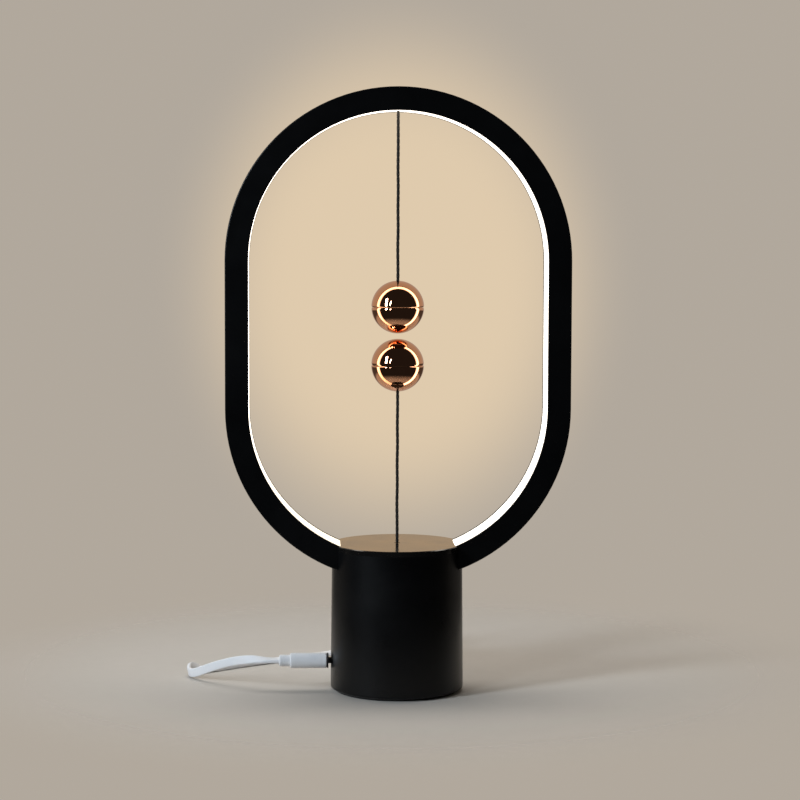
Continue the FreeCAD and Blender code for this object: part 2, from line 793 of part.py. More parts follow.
def is_base_bottom_edge(edge):
    point = edge.Vertexes[0].Point
    outside = abs(math.hypot(point.x, point.y) - number(size("base_bottom_radius"))) < 1e-3
    low = abs(point.z - number(size("foot_height"))) < 1e-3
    return outside and low and edge.BoundBox.ZLength < 1e-3


def make_top_plate():
    body = new_body("base_top_plate")
    outline = new_sketch(body, "XZ_Plane", "top_plate_outline")
    chamfer = size("top_plate_chamfer")
    hole = size("cord_hole_diameter") / 2
    under_radius = base_radius(PLATE_UNDER)
    edge_radius = base_radius(PLATE_TOP - chamfer)
    add_outline(outline, [(hole, PLATE_UNDER), (under_radius, PLATE_UNDER),
                          (edge_radius, PLATE_TOP - chamfer), (edge_radius - chamfer, PLATE_TOP),
                          (hole, PLATE_TOP)])
    revolve(body, outline, "top_plate_disc")
    bosses = new_sketch(body, "XY_Plane", "plate_boss_outline", SADDLE_TOP)
    for x, y in plate_boss_points():
        add_circle(bosses, size("plate_boss_diameter") / 2, x, y)
    pad(body, bosses, "plate_bosses", PLATE_UNDER - SADDLE_TOP)
    holes = new_sketch(body, "XY_Plane", "plate_screw_outline", SADDLE_TOP)
    for x, y in plate_boss_points():
        add_circle(holes, size("small_screw_diameter") / 2, x, y)
    pocket(body, holes, "plate_screw_holes", size("small_screw_diameter") * 4, reverse=True)
    slot = new_sketch(body, "XZ_Plane", "plate_ring_outline", RING_CUT / 2)
    add_circle(slot, RING_OUTER + size("slot_room"), ZERO, LOW_CENTRE)
    add_circle(slot, RING_INNER - size("slot_room"), ZERO, LOW_CENTRE)
    pocket(body, slot, "plate_ring_cut", RING_CUT)


def make_lower_bushing():
    radius = size("bushing_diameter") / 2
    height = size("lower_bushing_height")
    bore = CORD_RADIUS + size("cord_clearance")
    turned("lower_cord_bushing", [(bore, PLATE_UNDER - height), (radius, PLATE_UNDER - height),
                                  (radius, PLATE_UNDER), (bore, PLATE_UNDER)])


def make_ballast():
    body = new_body("ballast_weight")
    disc = new_sketch(body, "XY_Plane", "ballast_outline", COVER_TOP)
    radius = inside_radius(COVER_TOP, BALLAST_TOP) - size("ballast_wall_gap")
    add_circle(disc, radius)
    add_circle(disc, size("ballast_bore") / 2)
    pad(body, disc, "ballast_disc", size("ballast_height"))
    post = new_sketch(body, "XY_Plane", "ballast_post_outline", BALLAST_TOP)
    add_circle(post, POST_RADIUS + size("ballast_post_room"), *first_post())
    post_cut = pocket(body, post, "ballast_post_cut", size("ballast_height"))
    circle_pattern(body, post_cut, "ballast_post_cuts", size("post_count"))
    notch = new_sketch(body, "XY_Plane", "jack_notch_outline", BALLAST_TOP)
    half = size("jack_notch_width") / 2
    add_rectangle(notch, -radius - 1, -half, size("jack_notch_depth") - size("base_bottom_radius"), half)
    pocket(body, notch, "jack_notch", size("ballast_height"))


def make_bottom_cover():
    body = new_body("bottom_cover")
    foot = size("foot_height")
    disc = new_sketch(body, "XY_Plane", "bottom_cover_outline", foot)
    add_circle(disc, size("base_bottom_radius") - size("base_wall") - size("cover_room"))
    pad(body, disc, "bottom_cover_disc", size("bottom_cover_thickness"))
    hole = new_sketch(body, "XY_Plane", "cover_hole_outline", COVER_TOP)
    add_circle(hole, size("small_screw_head") / 2, *first_post())
    hole_cut = pocket(body, hole, "cover_hole", size("bottom_cover_thickness"))
    circle_pattern(body, hole_cut, "cover_holes", size("post_count"))


def make_foot_pad():
    body = new_body("foot_pad")
    disc = new_sketch(body, "XY_Plane", "foot_pad_outline")
    add_circle(disc, size("base_bottom_radius") - size("foot_inset"))
    pad(body, disc, "foot_pad_disc", size("foot_height"))


def screw(x, y, seat, shank, upward):
    """A small cheese-head screw whose head sits on a level and whose shank runs on from it."""
    head_height = number(size("small_screw_head_height"))
    direction = 1 if upward else -1
    head = Part.makeCylinder(number(size("small_screw_head")) / 2, head_height,
                             Vector(x, y, seat), Vector(0, 0, -direction))
    body = Part.makeCylinder(number(size("small_screw_diameter")) / 2, shank,
                             Vector(x, y, seat), Vector(0, 0, direction))
    return head.fuse(body).removeSplitter()


def make_screws():
    diameter = number(size("small_screw_diameter"))
    head = number(size("small_screw_head_height"))
    posts = post_points(POST_CIRCLE)
    foot = number(size("foot_height"))
    cover_seat = foot + head
    cover_shank = number(COVER_TOP) - cover_seat + diameter * 3
    group("bottom_cover_screws", [screw(x, y, cover_seat, cover_shank, True) for x, y in posts])
    saddle_top = number(SADDLE_TOP)
    shank = number(size("saddle_thickness")) + diameter * 3
    group("saddle_screws", [screw(x, y, saddle_top, shank, False) for x, y in posts])
    bosses = [(number(x), number(y)) for x, y in plate_boss_points()]
    group("top_plate_screws", [screw(x, y, number(SADDLE_LOW), shank, True) for x, y in bosses])


# Ring saddle: a disc on the base's posts with a block that the ring's ends rest on

def make_saddle():
    body = new_body("ring_saddle")
    disc = new_sketch(body, "XY_Plane", "saddle_disc_outline", SADDLE_LOW)
    add_circle(disc, inside_radius(SADDLE_LOW, SADDLE_TOP) - size("saddle_wall_gap"))
    pad(body, disc, "saddle_disc", size("saddle_thickness"))
    block = new_sketch(body, "XY_Plane", "saddle_block_outline", SADDLE_TOP)
    post_side = POST_CIRCLE * abs(math.cos(post_angles()[-1]))
    half_length = post_side - size("small_screw_head") / 2 - size("saddle_screw_room")
    half_width = size("saddle_block_width") / 2
    add_rectangle(block, -half_length, -half_width, half_length, half_width)
    block_top = LOW_CENTRE - root(RING_OUTER * RING_OUTER - half_length * half_length)
    pad(body, block, "saddle_block", block_top - SADDLE_TOP)
    seat = new_sketch(body, "XZ_Plane", "saddle_seat_outline", RING_CUT / 2)
    add_circle(seat, RING_OUTER + size("slot_room"), ZERO, LOW_CENTRE)
    pocket(body, seat, "saddle_seat", RING_CUT)
    post = new_sketch(body, "XY_Plane", "saddle_post_outline", SADDLE_TOP)
    half_length = size("saddle_post_length") / 2
    half_width = size("saddle_post_width") / 2
    add_rectangle(post, -half_length, -half_width, half_length, half_width)
    post_top = LOW_CENTRE - RING_INNER
    pad(body, post, "saddle_post", post_top - SADDLE_TOP)
    bore = new_sketch(body, "XY_Plane", "saddle_bore_outline", SADDLE_LOW)
    add_circle(bore, size("saddle_bore") / 2)
    for side in (size("wire_hole_side"), -size("wire_hole_side")):
        add_circle(bore, size("wire_diameter") / 2 + size("cord_clearance"), side, size("wire_hole_back"))
    pocket(body, bore, "saddle_bores", post_top - SADDLE_LOW, reverse=True)
    holes = new_sketch(body, "XY_Plane", "saddle_screw_outline", SADDLE_LOW)
    for x, y in plate_boss_points():
        add_circle(holes, size("small_screw_diameter") / 2, x, y)
    pocket(body, holes, "saddle_plate_holes", size("saddle_thickness"), reverse=True)
    post_hole = new_sketch(body, "XY_Plane", "saddle_post_hole_outline", SADDLE_LOW)
    add_circle(post_hole, size("small_screw_diameter") / 2, *first_post())
    hole_cut = pocket(body, post_hole, "saddle_post_hole", size("saddle_thickness"), reverse=True)
    circle_pattern(body, hole_cut, "saddle_post_holes", size("post_count"))


# Pull switch: bracket, lever on its pin, cord stop, return spring and micro switch

LEVER_AXIS = SADDLE_LOW - size("lever_axis_drop")
LEVER_UNDER = LEVER_AXIS - size("lever_thickness") / 2
LEVER_TOP = LEVER_AXIS + size("lever_thickness") / 2
PIVOT_X = -size("lever_pivot_reach")


def make_bracket():
    thickness = size("bracket_thickness")
    width = size("bracket_width")
    plate = box("bracket_plate", size("bracket_left") + size("bracket_right"), width, thickness,
                -size("bracket_left"), -width / 2, BRACKET_LOW)
    ears = []
    ear_drop = size("ear_drop")
    for name, y in (("front_ear", -size("ear_gap") / 2 - thickness), ("rear_ear", size("ear_gap") / 2)):
        ears.append(box(name, size("ear_length"), thickness, ear_drop,
                        PIVOT_X - size("ear_length") / 2, y, BRACKET_LOW - ear_drop))
    pin_hole = rod("bracket_pin_hole", size("pin_diameter") / 2, width, PIVOT_X, -width / 2, LEVER_AXIS, "y")
    hole_radius = CORD_RADIUS + size("cord_clearance")
    spring_hole = rod("bracket_cord_hole", hole_radius, thickness, ZERO, ZERO, BRACKET_LOW)
    solid = union("bracket_solid", [plate] + ears)
    keep(cut("switch_bracket", solid, union("bracket_holes", [pin_hole, spring_hole])), "switch_bracket")
    keep(rod("lever_pin", size("pin_diameter") / 2, size("pin_length"), PIVOT_X, -size("pin_length") / 2,
             LEVER_AXIS, "y"), "lever_pin")


def make_lever():
    width = size("lever_width")
    length = size("lever_pivot_reach") + size("lever_end_reach")
    arm = box("lever_arm", length, width, size("lever_thickness"), PIVOT_X, -width / 2, LEVER_UNDER)
    boss = rod("lever_boss", size("lever_boss_diameter") / 2, width, PIVOT_X, -width / 2, LEVER_AXIS, "y")
    bore = rod("lever_bore", size("pin_diameter") / 2 + size("pin_room"), width, PIVOT_X, -width / 2,
               LEVER_AXIS, "y")
    cord_hole = rod("lever_cord_hole", size("lever_hole_diameter") / 2, size("lever_thickness"),
                    ZERO, ZERO, LEVER_UNDER)
    keep(cut("switch_lever", union("lever_solid", [arm, boss]), union("lever_holes", [bore, cord_hole])),
         "switch_lever")


def make_pull_cord():
    stop_radius = size("stop_diameter") / 2
    stop_centre = LEVER_UNDER - stop_radius - size("cord_clearance")
    top = LOWER_PIVOT - size("lower_bead_diameter") / 2 - size("cord_clearance")
    keep(rod("inner_pull_cord", CORD_RADIUS, top - stop_centre - stop_radius, ZERO, ZERO,
             stop_centre + stop_radius), "inner_pull_cord")
    keep(ball("pull_cord_stop", stop_radius, ZERO, ZERO, stop_centre), "pull_cord_stop")


def make_micro_switch():
    height = size("switch_height")
    low = BRACKET_LOW - height
    width = size("switch_width")
    case = box("micro_switch_case", size("switch_length"), width, height,
               size("switch_reach"), -width / 2, low)
    button_x = size("switch_reach") + size("switch_length") / 2
    button_low = LEVER_TOP + size("button_room")
    radius = size("button_diameter") / 2
    guide = rod("micro_switch_guide", radius + size("button_room"), size("button_length") + button_low - low,
                button_x, ZERO, low)
    keep(cut("micro_switch_body", case, guide), "micro_switch_body")
    keep(rod("micro_switch_button", radius, size("button_length"), button_x, ZERO, button_low),
         "micro_switch_button")


# Arcs in space: each half turn is two tangent arcs of about a quarter turn

def arc_through(start, heading, end):
    """Arc that leaves start along heading and reaches end."""
    chord = end - start
    along = Vector(chord).normalize()
    angle = heading.getAngle(chord)
    side = heading - along * heading.dot(along)
    side.normalize()
    middle = (start + end) * 0.5 + side * (chord.Length / 2 * math.tan(angle / 2))
    return Part.Arc(start, middle, end).toShape()


def arc_pair(start, start_heading, end, end_heading):
    """Two tangent arcs with equal legs from one point and heading to another."""
    span = end - start
    both = start_heading + end_heading
    spread = 2 * (1 - start_heading.dot(end_heading))
    reach = span.dot(both)
    leg = (math.sqrt(reach * reach + spread * span.dot(span)) - reach) / spread
    joint = (start + start_heading * leg + end - end_heading * leg) * 0.5
    out = arc_through(start, start_heading, joint)
    back = arc_through(end, end_heading * -1, joint)
    middle = back.valueAt((back.FirstParameter + back.LastParameter) / 2)
    back_reversed = Part.Arc(joint, middle, end).toShape()
    return [out, back_reversed]


def swept_tube(path, radius, start, heading):
    profile = Part.Wire([Part.Circle(start, heading, radius).toShape()])
    tube = Part.Wire(path).makePipeShell([profile], True, False)
    if tube.Volume < 0:
        tube.reverse()
    return tube


def least_gap(edges, diameter):
    """Least distance between surfaces of a wound tube, measured on points along its line."""
    step = diameter / 5
    passed = diameter * 4
    points = [point for edge in edges for point in edge.discretize(max(3, int(edge.Length / step)))[:-1]]
    distance = 0.0
    places = []
    for point, before in zip(points, points[:1] + points):
        distance += point.distanceToPoint(before)
        places.append((distance, point))
    gaps = [point.distanceToPoint(other) - diameter
            for index, (here, point) in enumerate(places)
            for there, other in places[index + 1:] if there - here > passed]
    return min(gaps)


def make_return_spring():
    wire = number(size("spring_wire"))
    radius = number(size("spring_diameter")) / 2 - wire / 2
    low = number(LEVER_TOP + size("spring_end_room")) + wire / 2
    high = number(BRACKET_LOW) - wire / 2 - 0.02
    halves = int(number(size("spring_half_turns")))
    rise = (high - low) / halves
    slope = rise / (math.pi * radius)
    nodes = []
    for index in range(halves + 1):
        angle = math.pi * index
        point = Vector(radius * math.cos(angle), radius * math.sin(angle), low + rise * index)
        heading = Vector(-math.sin(angle), math.cos(angle), slope).normalize()
        nodes.append((point, heading))
    edges = []
    for (start, start_heading), (end, end_heading) in zip(nodes, nodes[1:]):
        edges += arc_pair(start, start_heading, end, end_heading)
    spring = doc.addObject("Part::Feature", "return_spring")
    spring.Shape = swept_tube(edges, wire / 2, nodes[0][0], nodes[0][1])
    keep(spring, "return_spring")


# Driver board with its parts, stand-offs, jack and inside wires

# Corner x and y, length, width and height of the block-shaped parts: choke, chip and wire socket
BOARD_BLOCKS = [(8.0, -12.0, 6.0, 6.0, 3.0), (-3.0, -13.0, 5.0, 4.0, 1.5), (-17.0, -2.0, 6.0, 4.5, 4.5)]
# Centre x and y, radius and height of the round part: a smoothing can
BOARD_CANS = [(12.0, 6.5, 2.5, 5.5)]


def make_board():
    radius = inside_radius(BOARD_LOW, BOARD_TOP) - size("board_wall_gap")
    disc = rod("board_disc", radius, size("board_thickness"), ZERO, ZERO, BOARD_LOW)
    cuts = []
    for index, turn in enumerate(post_angles()):
        cuts.append(rod("board_notch_%d" % index, POST_RADIUS + size("ballast_post_room"),
                        size("board_thickness"), POST_CIRCLE * math.cos(turn), POST_CIRCLE * math.sin(turn),
                        BOARD_LOW))
    keep(cut("driver_board", disc, union("board_notches", cuts)), "driver_board")
    gap = number(BOARD_LOW) - number(BALLAST_TOP)
    standoffs = [Part.makeCylinder(number(size("standoff_diameter")) / 2, gap,
                                   Vector(-x, -y, number(BALLAST_TOP)))
                 for x, y in post_points(size("standoff_circle_radius"))]
    group("board_standoffs", standoffs)
    top = number(BOARD_TOP)
    parts = [Part.makeBox(length, width, height, Vector(x, y, top))
             for x, y, length, width, height in BOARD_BLOCKS]
    parts += [Part.makeCylinder(radius, height, Vector(x, y, top)) for x, y, radius, height in BOARD_CANS]
    group("board_components", parts)


def make_jack():
    half_width = size("jack_width") / 2
    half_height = size("jack_height") / 2
    case = box("jack_case", size("jack_length"), size("jack_width"), size("jack_height"),
               -JACK_FRONT, -half_width, JACK_AXIS - half_height)
    nose = rod("jack_nose", size("jack_nose_diameter") / 2, size("jack_nose_length"),
               -JACK_NOSE_FACE, ZERO, JACK_AXIS, "x")
    bore = rod("jack_bore", size("jack_bore_diameter") / 2, size("jack_bore_depth"),
               -JACK_NOSE_FACE, ZERO, JACK_AXIS, "x")
    keep(cut("power_jack", union("jack_solid", [case, nose]), bore), "power_jack")
    bore_end = size("jack_bore_depth") - JACK_NOSE_FACE
    pin_length = size("jack_bore_depth") - size("jack_pin_setback")
    keep(rod("jack_centre_pin", size("jack_pin_diameter") / 2, pin_length, bore_end - pin_length, ZERO,
             JACK_AXIS, "x"), "jack_centre_pin")


def make_wires():
    radius = number(size("wire_diameter")) / 2
    back = number(size("wire_hole_back"))
    board_top = number(BOARD_TOP)
    channel = number(LOW_CENTRE) - number(LED_FACE) + number(size("wire_rise"))
    wires = []
    for side in (-1, 1):
        x = side * number(size("wire_hole_side"))
        reach = side * number(size("wire_reach"))
        route = [Vector(x, back, board_top), Vector(x, back, channel), Vector(reach, back, channel)]
        wires.append(route_tube(route, radius))
    group("led_wires", wires)
    jack_top = number(JACK_AXIS) + number(size("jack_height")) / 2
    x = -number(JACK_BACK) - number(size("jack_wire_inset"))
    side = number(size("jack_wire_side"))
    rise = number(BOARD_LOW) - jack_top
    group("jack_wires", [Part.makeCylinder(radius, rise, Vector(x, y, jack_top)) for y in (-side, side)])


# Cord routes: straight runs joined by tangent arcs

ARC_SHARE = 0.45


def route_edges(points, report=None):
    """Straight runs with each corner rounded by an arc as large as its two runs allow."""
    edges = []
    here = points[0]
    radii = []
    for before, corner, after in zip(points, points[1:], points[2:]):
        inward = (corner - before).normalize()
        outward = (after - corner).normalize()
        turn = inward.getAngle(outward)
        leg = ARC_SHARE * min((corner - before).Length, (after - corner).Length)
        radii.append(leg / math.tan(turn / 2))
        start = corner - inward * leg
        end = corner + outward * leg
        edges.append(Part.LineSegment(here, start).toShape())
        edges.append(arc_through(start, inward, end))
        here = end
    edges.append(Part.LineSegment(here, points[-1]).toShape())
    if report:
        print(report, "arc radii:", ", ".join("%.1f" % value for value in radii))
    return edges


def route_tube(points, radius, report=None):
    edges = route_edges(points, report)
    heading = (points[1] - points[0]).normalize()
    tube = swept_tube(edges, radius, points[0], heading)
    if report:
        length = sum(edge.Length for edge in edges)
        expected = math.pi * radius * radius * length
        print(report, "length %.1f, volume %.1f against %.1f" % (length, tube.Volume, expected))
    return tube


LEAD_RADIUS = size("lead_width") / 2

# The lead leaves the plug to the left, sinks to the floor, folds back on itself and runs low behind
# its own front stretch to the coil behind the base. Each point is written from the start of the lead.
LEAD_ROUTE = [
    (0.0, 0.0, 0.0), (-5.5, 0.0, 0.0), (-12.0, 3.2, -0.2), (-19.0, 8.0, -2.2), (-26.0, 13.3, -4.9),
    (-32.5, 18.8, -7.9), (-38.1, 24.2, -9.9), (-41.1, 29.8, -9.9), (-39.3, 35.6, -8.5), (-34.7, 40.2, -9.3),
    (-28.7, 44.6, -10.2), (-21.0, 49.6, -10.3), (-12.5, 55.2, -10.3), (-3.0, 60.0, -10.3), (7.5, 64.0, -10.3),
    (18.2, 68.2, -10.3),
]
# From the coil's end the lead climbs over the top turns to the far plug, which lies on the coil.
# Each point is written from the foot of the coil's axis.
TAIL_ROUTE = [
    (-9.5, -23.3, 15.2), (-15.3, -19.2, 16.9), (-18.6, -12.9, 18.6), (-18.6, -5.8, 20.08),
    (-15.3, 0.5, 20.08),
]


def lead_points():
    start = Vector(-number(LEAD_START), 0, number(JACK_AXIS))
    return [start + Vector(*point) for point in LEAD_ROUTE]


def coil_foot():
    behind = number(size("base_bottom_radius") + size("coil_behind_base"))
    return Vector(number(size("coil_centre_x")), behind, 0)


def tail_points():
    return [coil_foot() + Vector(*point) for point in TAIL_ROUTE]


def coil_nodes():
    """Points and headings along the put-away coil, wound inwards and outwards, layer on layer."""
    pitch = number(size("lead_width")) + number(size("coil_gap"))
    halves = int(number(size("coil_half_turns")))
    layers = int(number(size("coil_layers")))
    radius = number(size("coil_middle_radius")) + halves * pitch / 4
    shift = number(size("coil_climb_shift"))
    height = number(LEAD_RADIUS)
    angle = math.radians(number(size("coil_start_angle")))
    places = [(radius, angle, height, 0.0)]
    step = -pitch / 2
    for layer in range(layers):
        for half in range(halves):
            radius += step
            angle -= math.pi
            places.append((radius, angle, height, 0.0))
        if layer < layers - 1:
            middle = radius + math.copysign(shift, step)
            slope = 1.5 * pitch / (math.pi * middle)
            places.append((middle, angle - math.pi / 2, height + pitch / 2, slope))
            angle -= math.pi
            height += pitch
            places.append((radius, angle, height, 0.0))
        step = -step
    nodes = []
    for radius, angle, height, slope in places:
        point = coil_foot() + Vector(radius * math.cos(angle), radius * math.sin(angle), height)
        nodes.append((point, Vector(math.sin(angle), -math.cos(angle), slope).normalize()))
    return nodes


def make_lead():
    diameter = number(size("lead_width"))
    radius = diameter / 2
    nodes = coil_nodes()
    first, first_heading = nodes[0]
    last, last_heading = nodes[-1]
    coil_start = first - first_heading * diameter
    coil_end = last + last_heading * diameter
    edges = [Part.LineSegment(coil_start, first).toShape()]
    for (start, start_heading), (end, end_heading) in zip(nodes, nodes[1:]):
        edges += arc_pair(start, start_heading, end, end_heading)
    edges.append(Part.LineSegment(last, coil_end).toShape())
    coil = doc.addObject("Part::Feature", "power_lead_coil")
    coil.Shape = swept_tube(edges, radius, coil_start, first_heading)
    keep(coil, "power_lead_coil")
    coil_length = sum(edge.Length for edge in edges)
    print("coil length %.1f, volume %.1f against %.1f, least gap to itself %.2f" % (
        coil_length, coil.Shape.Volume, math.pi * radius * radius * coil_length,
        least_gap(edges, diameter)))
    lead_in = coil_start - first_heading * diameter * 3
    route = lead_points() + [lead_in, coil_start]
    lead = doc.addObject("Part::Feature", "power_lead")
    lead.Shape = route_tube(route, radius, "power lead")
    keep(lead, "power_lead")
    tail_start = coil_end + last_heading * number(size("tail_start_run"))
    tail_route = [coil_end, tail_start] + tail_points()
    tail = doc.addObject("Part::Feature", "power_lead_tail")
    tail.Shape = route_tube(tail_route, radius, "power lead tail")
    keep(tail, "power_lead_tail")


def make_plug():
    barrel = rod("barrel_tube", size("barrel_diameter") / 2, size("barrel_length"), -PLUG_FACE, ZERO,
                 JACK_AXIS, "x")
    bore = rod("barrel_bore_space", size("barrel_bore") / 2, size("barrel_length"), -PLUG_FACE, ZERO,
               JACK_AXIS, "x")
    keep(cut("plug_barrel", barrel, bore), "plug_barrel")
    keep(rod("plug_collar", size("collar_diameter") / 2, size("collar_thickness"), -PLUG_BODY_FRONT, ZERO,
             JACK_AXIS, "x"), "plug_collar")
    radius = size("plug_body_diameter") / 2
    edge = size("plug_body_round")
    length = size("plug_body_length")
    body = turned("plug_body", [(ZERO, ZERO), (length, ZERO), (length, radius - edge),
                                (length - edge, radius), (edge, radius), (ZERO, radius - edge)], "H_Axis")
    bind_place(body, x=-RELIEF_FRONT, z=JACK_AXIS)
    radius = size("relief_diameter") / 2
    length = size("relief_length")
    relief = turned("plug_strain_relief", [(ZERO, ZERO), (length, ZERO), (length, radius), (edge, radius),
                                           (ZERO, radius - edge)], "H_Axis")
    bind_place(relief, x=-LEAD_START, z=JACK_AXIS)


def usb_place(offset):
    """Place along the far plug's axis, which carries on from the end of the lead."""
    before, end = tail_points()[-2:]
    direction = (end - before).normalize()
    return Placement(end + direction * offset, Rotation(Vector(1, 0, 0), direction))


def centred_box(length, width, height, middle=0.0):
    """A box that runs along +X from the origin, its middle at a height."""
    return Part.makeBox(length, width, height, Vector(0, -width / 2, middle - height / 2))


def make_far_plug():
    relief_length = number(size("usb_relief_length"))
    grip_length = number(size("usb_grip_length"))
    shell_length = number(size("usb_shell_length"))
    wall = number(size("usb_shell_wall"))
    width = number(size("usb_shell_width"))
    height = number(size("usb_shell_height"))
    relief_radius = number(size("usb_relief_diameter")) / 2
    relief = Part.makeCylinder(relief_radius, relief_length, Vector(), Vector(1, 0, 0))
    grip = centred_box(grip_length, number(size("usb_grip_width")), number(size("usb_grip_height")))
    grip = grip.makeFillet(number(size("usb_grip_round")), grip.Edges)
    shell = centred_box(shell_length, width, height)
    shell = shell.cut(centred_box(shell_length, width - 2 * wall, height - 2 * wall))
    tongue_height = number(size("usb_tongue_height"))
    tongue_low = wall - height / 2
    tongue = centred_box(shell_length - number(size("usb_tongue_setback")), width - 2 * wall,
                         tongue_height, tongue_low + tongue_height / 2)
    contact_width = number(size("usb_contact_width"))
    contact_low = tongue_low + tongue_height
    contacts = [Part.makeBox(number(size("usb_contact_length")), contact_width,
                             number(size("usb_contact_thickness")),
                             Vector(0, turn * number(size("usb_contact_spacing")) - contact_width / 2,
                                    contact_low))
                for turn in (-1.5, -0.5, 0.5, 1.5)]
    grip_start = relief_length
    shell_start = relief_length + grip_length
    for label, shape, offset in (
            ("far_plug_strain_relief", relief, 0.0), ("far_plug_grip", grip, grip_start),
            ("far_plug_shell", shell, shell_start), ("far_plug_tongue", tongue, shell_start),
            ("far_plug_contacts", Part.makeCompound(contacts), shell_start)):
        piece = doc.addObject("Part::Feature", label)
        piece.Shape = shape
        piece.Placement = usb_place(offset)
        keep(piece, label)


def check_and_write():
    doc.recompute()
    faults = []
    for item in doc.Objects:
        if "Invalid" in item.State or "Error" in item.State:
            faults.append("%s is %s" % (item.Label, item.State))
    for piece in pieces:
        shape = piece.Shape
        if shape.isNull() or not shape.isValid() or not shape.Solids:
            faults.append(piece.Label + " has no valid solid")
    if faults:
        raise RuntimeError("; ".join(faults))
    os.makedirs("parts", exist_ok=True)
    for piece in pieces:
        piece.Shape.exportStep("parts/%s.step" % piece.Label)
    print(len(pieces), "sub-parts written")


make_ring()
make_ring_cord_fixing()
make_cords_and_balls()
make_base_shell()
make_top_plate()
make_lower_bushing()
make_ballast()
make_bottom_cover()
make_foot_pad()
make_screws()
make_saddle()
make_bracket()
make_lever()
make_pull_cord()
make_micro_switch()
make_return_spring()
make_board()
make_jack()
make_wires()
make_plug()
make_lead()
make_far_plug()
check_and_write()
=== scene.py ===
import json
import math

import bpy
from mathutils import Matrix, Quaternion, Vector


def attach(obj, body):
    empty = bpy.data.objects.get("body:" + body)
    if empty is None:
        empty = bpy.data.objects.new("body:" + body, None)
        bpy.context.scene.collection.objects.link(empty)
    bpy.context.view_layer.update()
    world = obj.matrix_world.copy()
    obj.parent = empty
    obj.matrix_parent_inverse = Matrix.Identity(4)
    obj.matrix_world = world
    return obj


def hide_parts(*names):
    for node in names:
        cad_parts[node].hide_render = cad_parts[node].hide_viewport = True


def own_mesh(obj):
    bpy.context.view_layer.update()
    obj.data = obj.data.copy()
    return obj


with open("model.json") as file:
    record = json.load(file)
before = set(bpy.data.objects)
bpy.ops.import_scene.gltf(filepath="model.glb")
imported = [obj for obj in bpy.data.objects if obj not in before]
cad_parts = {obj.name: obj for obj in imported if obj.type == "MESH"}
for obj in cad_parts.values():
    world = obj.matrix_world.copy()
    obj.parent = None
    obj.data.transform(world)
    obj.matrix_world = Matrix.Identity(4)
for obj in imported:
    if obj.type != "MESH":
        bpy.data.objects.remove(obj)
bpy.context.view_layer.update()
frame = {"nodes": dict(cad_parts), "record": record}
MM = 0.001


# Camera: its place in metres, its angles in radians and its lens in millimetres

CAMERA_PLACE = Vector((-0.03867, -0.94024, 0.19465))
CAMERA_YAW = -0.0422
CAMERA_PITCH = 0.0791
CAMERA_ROLL = 0.0029
CAMERA_LENS = 103.5


def make_camera():
    level = math.cos(CAMERA_PITCH)
    forward = Vector((-math.sin(CAMERA_YAW) * level, math.cos(CAMERA_YAW) * level,
                      -math.sin(CAMERA_PITCH)))
    right = Vector((math.cos(CAMERA_YAW), math.sin(CAMERA_YAW), 0))
    up = right.cross(forward)
    turned_right = right * math.cos(CAMERA_ROLL) + up * math.sin(CAMERA_ROLL)
    turned_up = up * math.cos(CAMERA_ROLL) - right * math.sin(CAMERA_ROLL)
    data = bpy.data.cameras.new("front_camera")
    data.lens = CAMERA_LENS
    camera = bpy.data.objects.new("front_camera", data)
    bpy.context.scene.collection.objects.link(camera)
    turn = Matrix((turned_right, turned_up, -forward)).transposed()
    camera.matrix_world = Matrix.Translation(CAMERA_PLACE) @ turn.to_4x4()
    bpy.context.scene.camera = camera


# Mesh tools

def add_piece(name, vertices, faces, sharp_degrees=40):
    mesh = bpy.data.meshes.new(name)
    mesh.from_pydata([tuple(v) for v in vertices], [], faces)
    mesh.update()
    mesh.polygons.foreach_set("use_smooth", [True] * len(mesh.polygons))
    mesh.set_sharp_from_angle(angle=math.radians(sharp_degrees))
    piece = bpy.data.objects.new(name, mesh)
    bpy.context.scene.collection.objects.link(piece)
    return piece


def spline_points(name, places, steps):
    """Points along a smooth NURBS line that has these places as its control points."""
    curve = bpy.data.curves.new(name, "CURVE")
    curve.dimensions = "3D"
    curve.resolution_u = steps
    spline = curve.splines.new("NURBS")
    spline.points.add(len(places) - 1)
    for point, place in zip(spline.points, places):
        point.co = (*place, 1)
    spline.order_u = 3
    spline.use_endpoint_u = True
    holder = bpy.data.objects.new(name, curve)
    bpy.context.scene.collection.objects.link(holder)
    bpy.context.view_layer.update()
    mesh = bpy.data.meshes.new_from_object(holder)
    points = [vertex.co.copy() for vertex in mesh.vertices]
    bpy.data.objects.remove(holder)
    bpy.data.curves.remove(curve)
    bpy.data.meshes.remove(mesh)
    return points


def skin_faces(rings, count, closed=False):
    """Faces between neighbouring rings of a skin; a closed skin joins its last ring to the first."""
    faces = []
    for i in range(rings if closed else rings - 1):
        low, high = i * count, (i + 1) % rings * count
        for k in range(count):
            nxt = (k + 1) % count
            faces.append((low + k, low + nxt, high + nxt, high + k))
    return faces


def sweep(name, points, outline, reference=Vector((0, 0, 1)), sharp_degrees=40):
    """Skins an outline along the points. outline(distance) gives (side, up) offsets; side is square to the
    reference direction."""
    vertices = []
    distance = 0.0
    for i, point in enumerate(points):
        before, after = points[max(i - 1, 0)], points[min(i + 1, len(points) - 1)]
        along = (after - before).normalized()
        side = along.cross(reference).normalized()
        up = side.cross(along)
        if i:
            distance += (point - before).length
        ring = outline(distance)
        vertices += [point + side * a + up * b for a, b in ring]
    count = len(ring)
    faces = skin_faces(len(points), count)
    faces.append(tuple(reversed(range(count))))
    faces.append(tuple(range(len(vertices) - count, len(vertices))))
    return add_piece(name, vertices, faces, sharp_degrees)


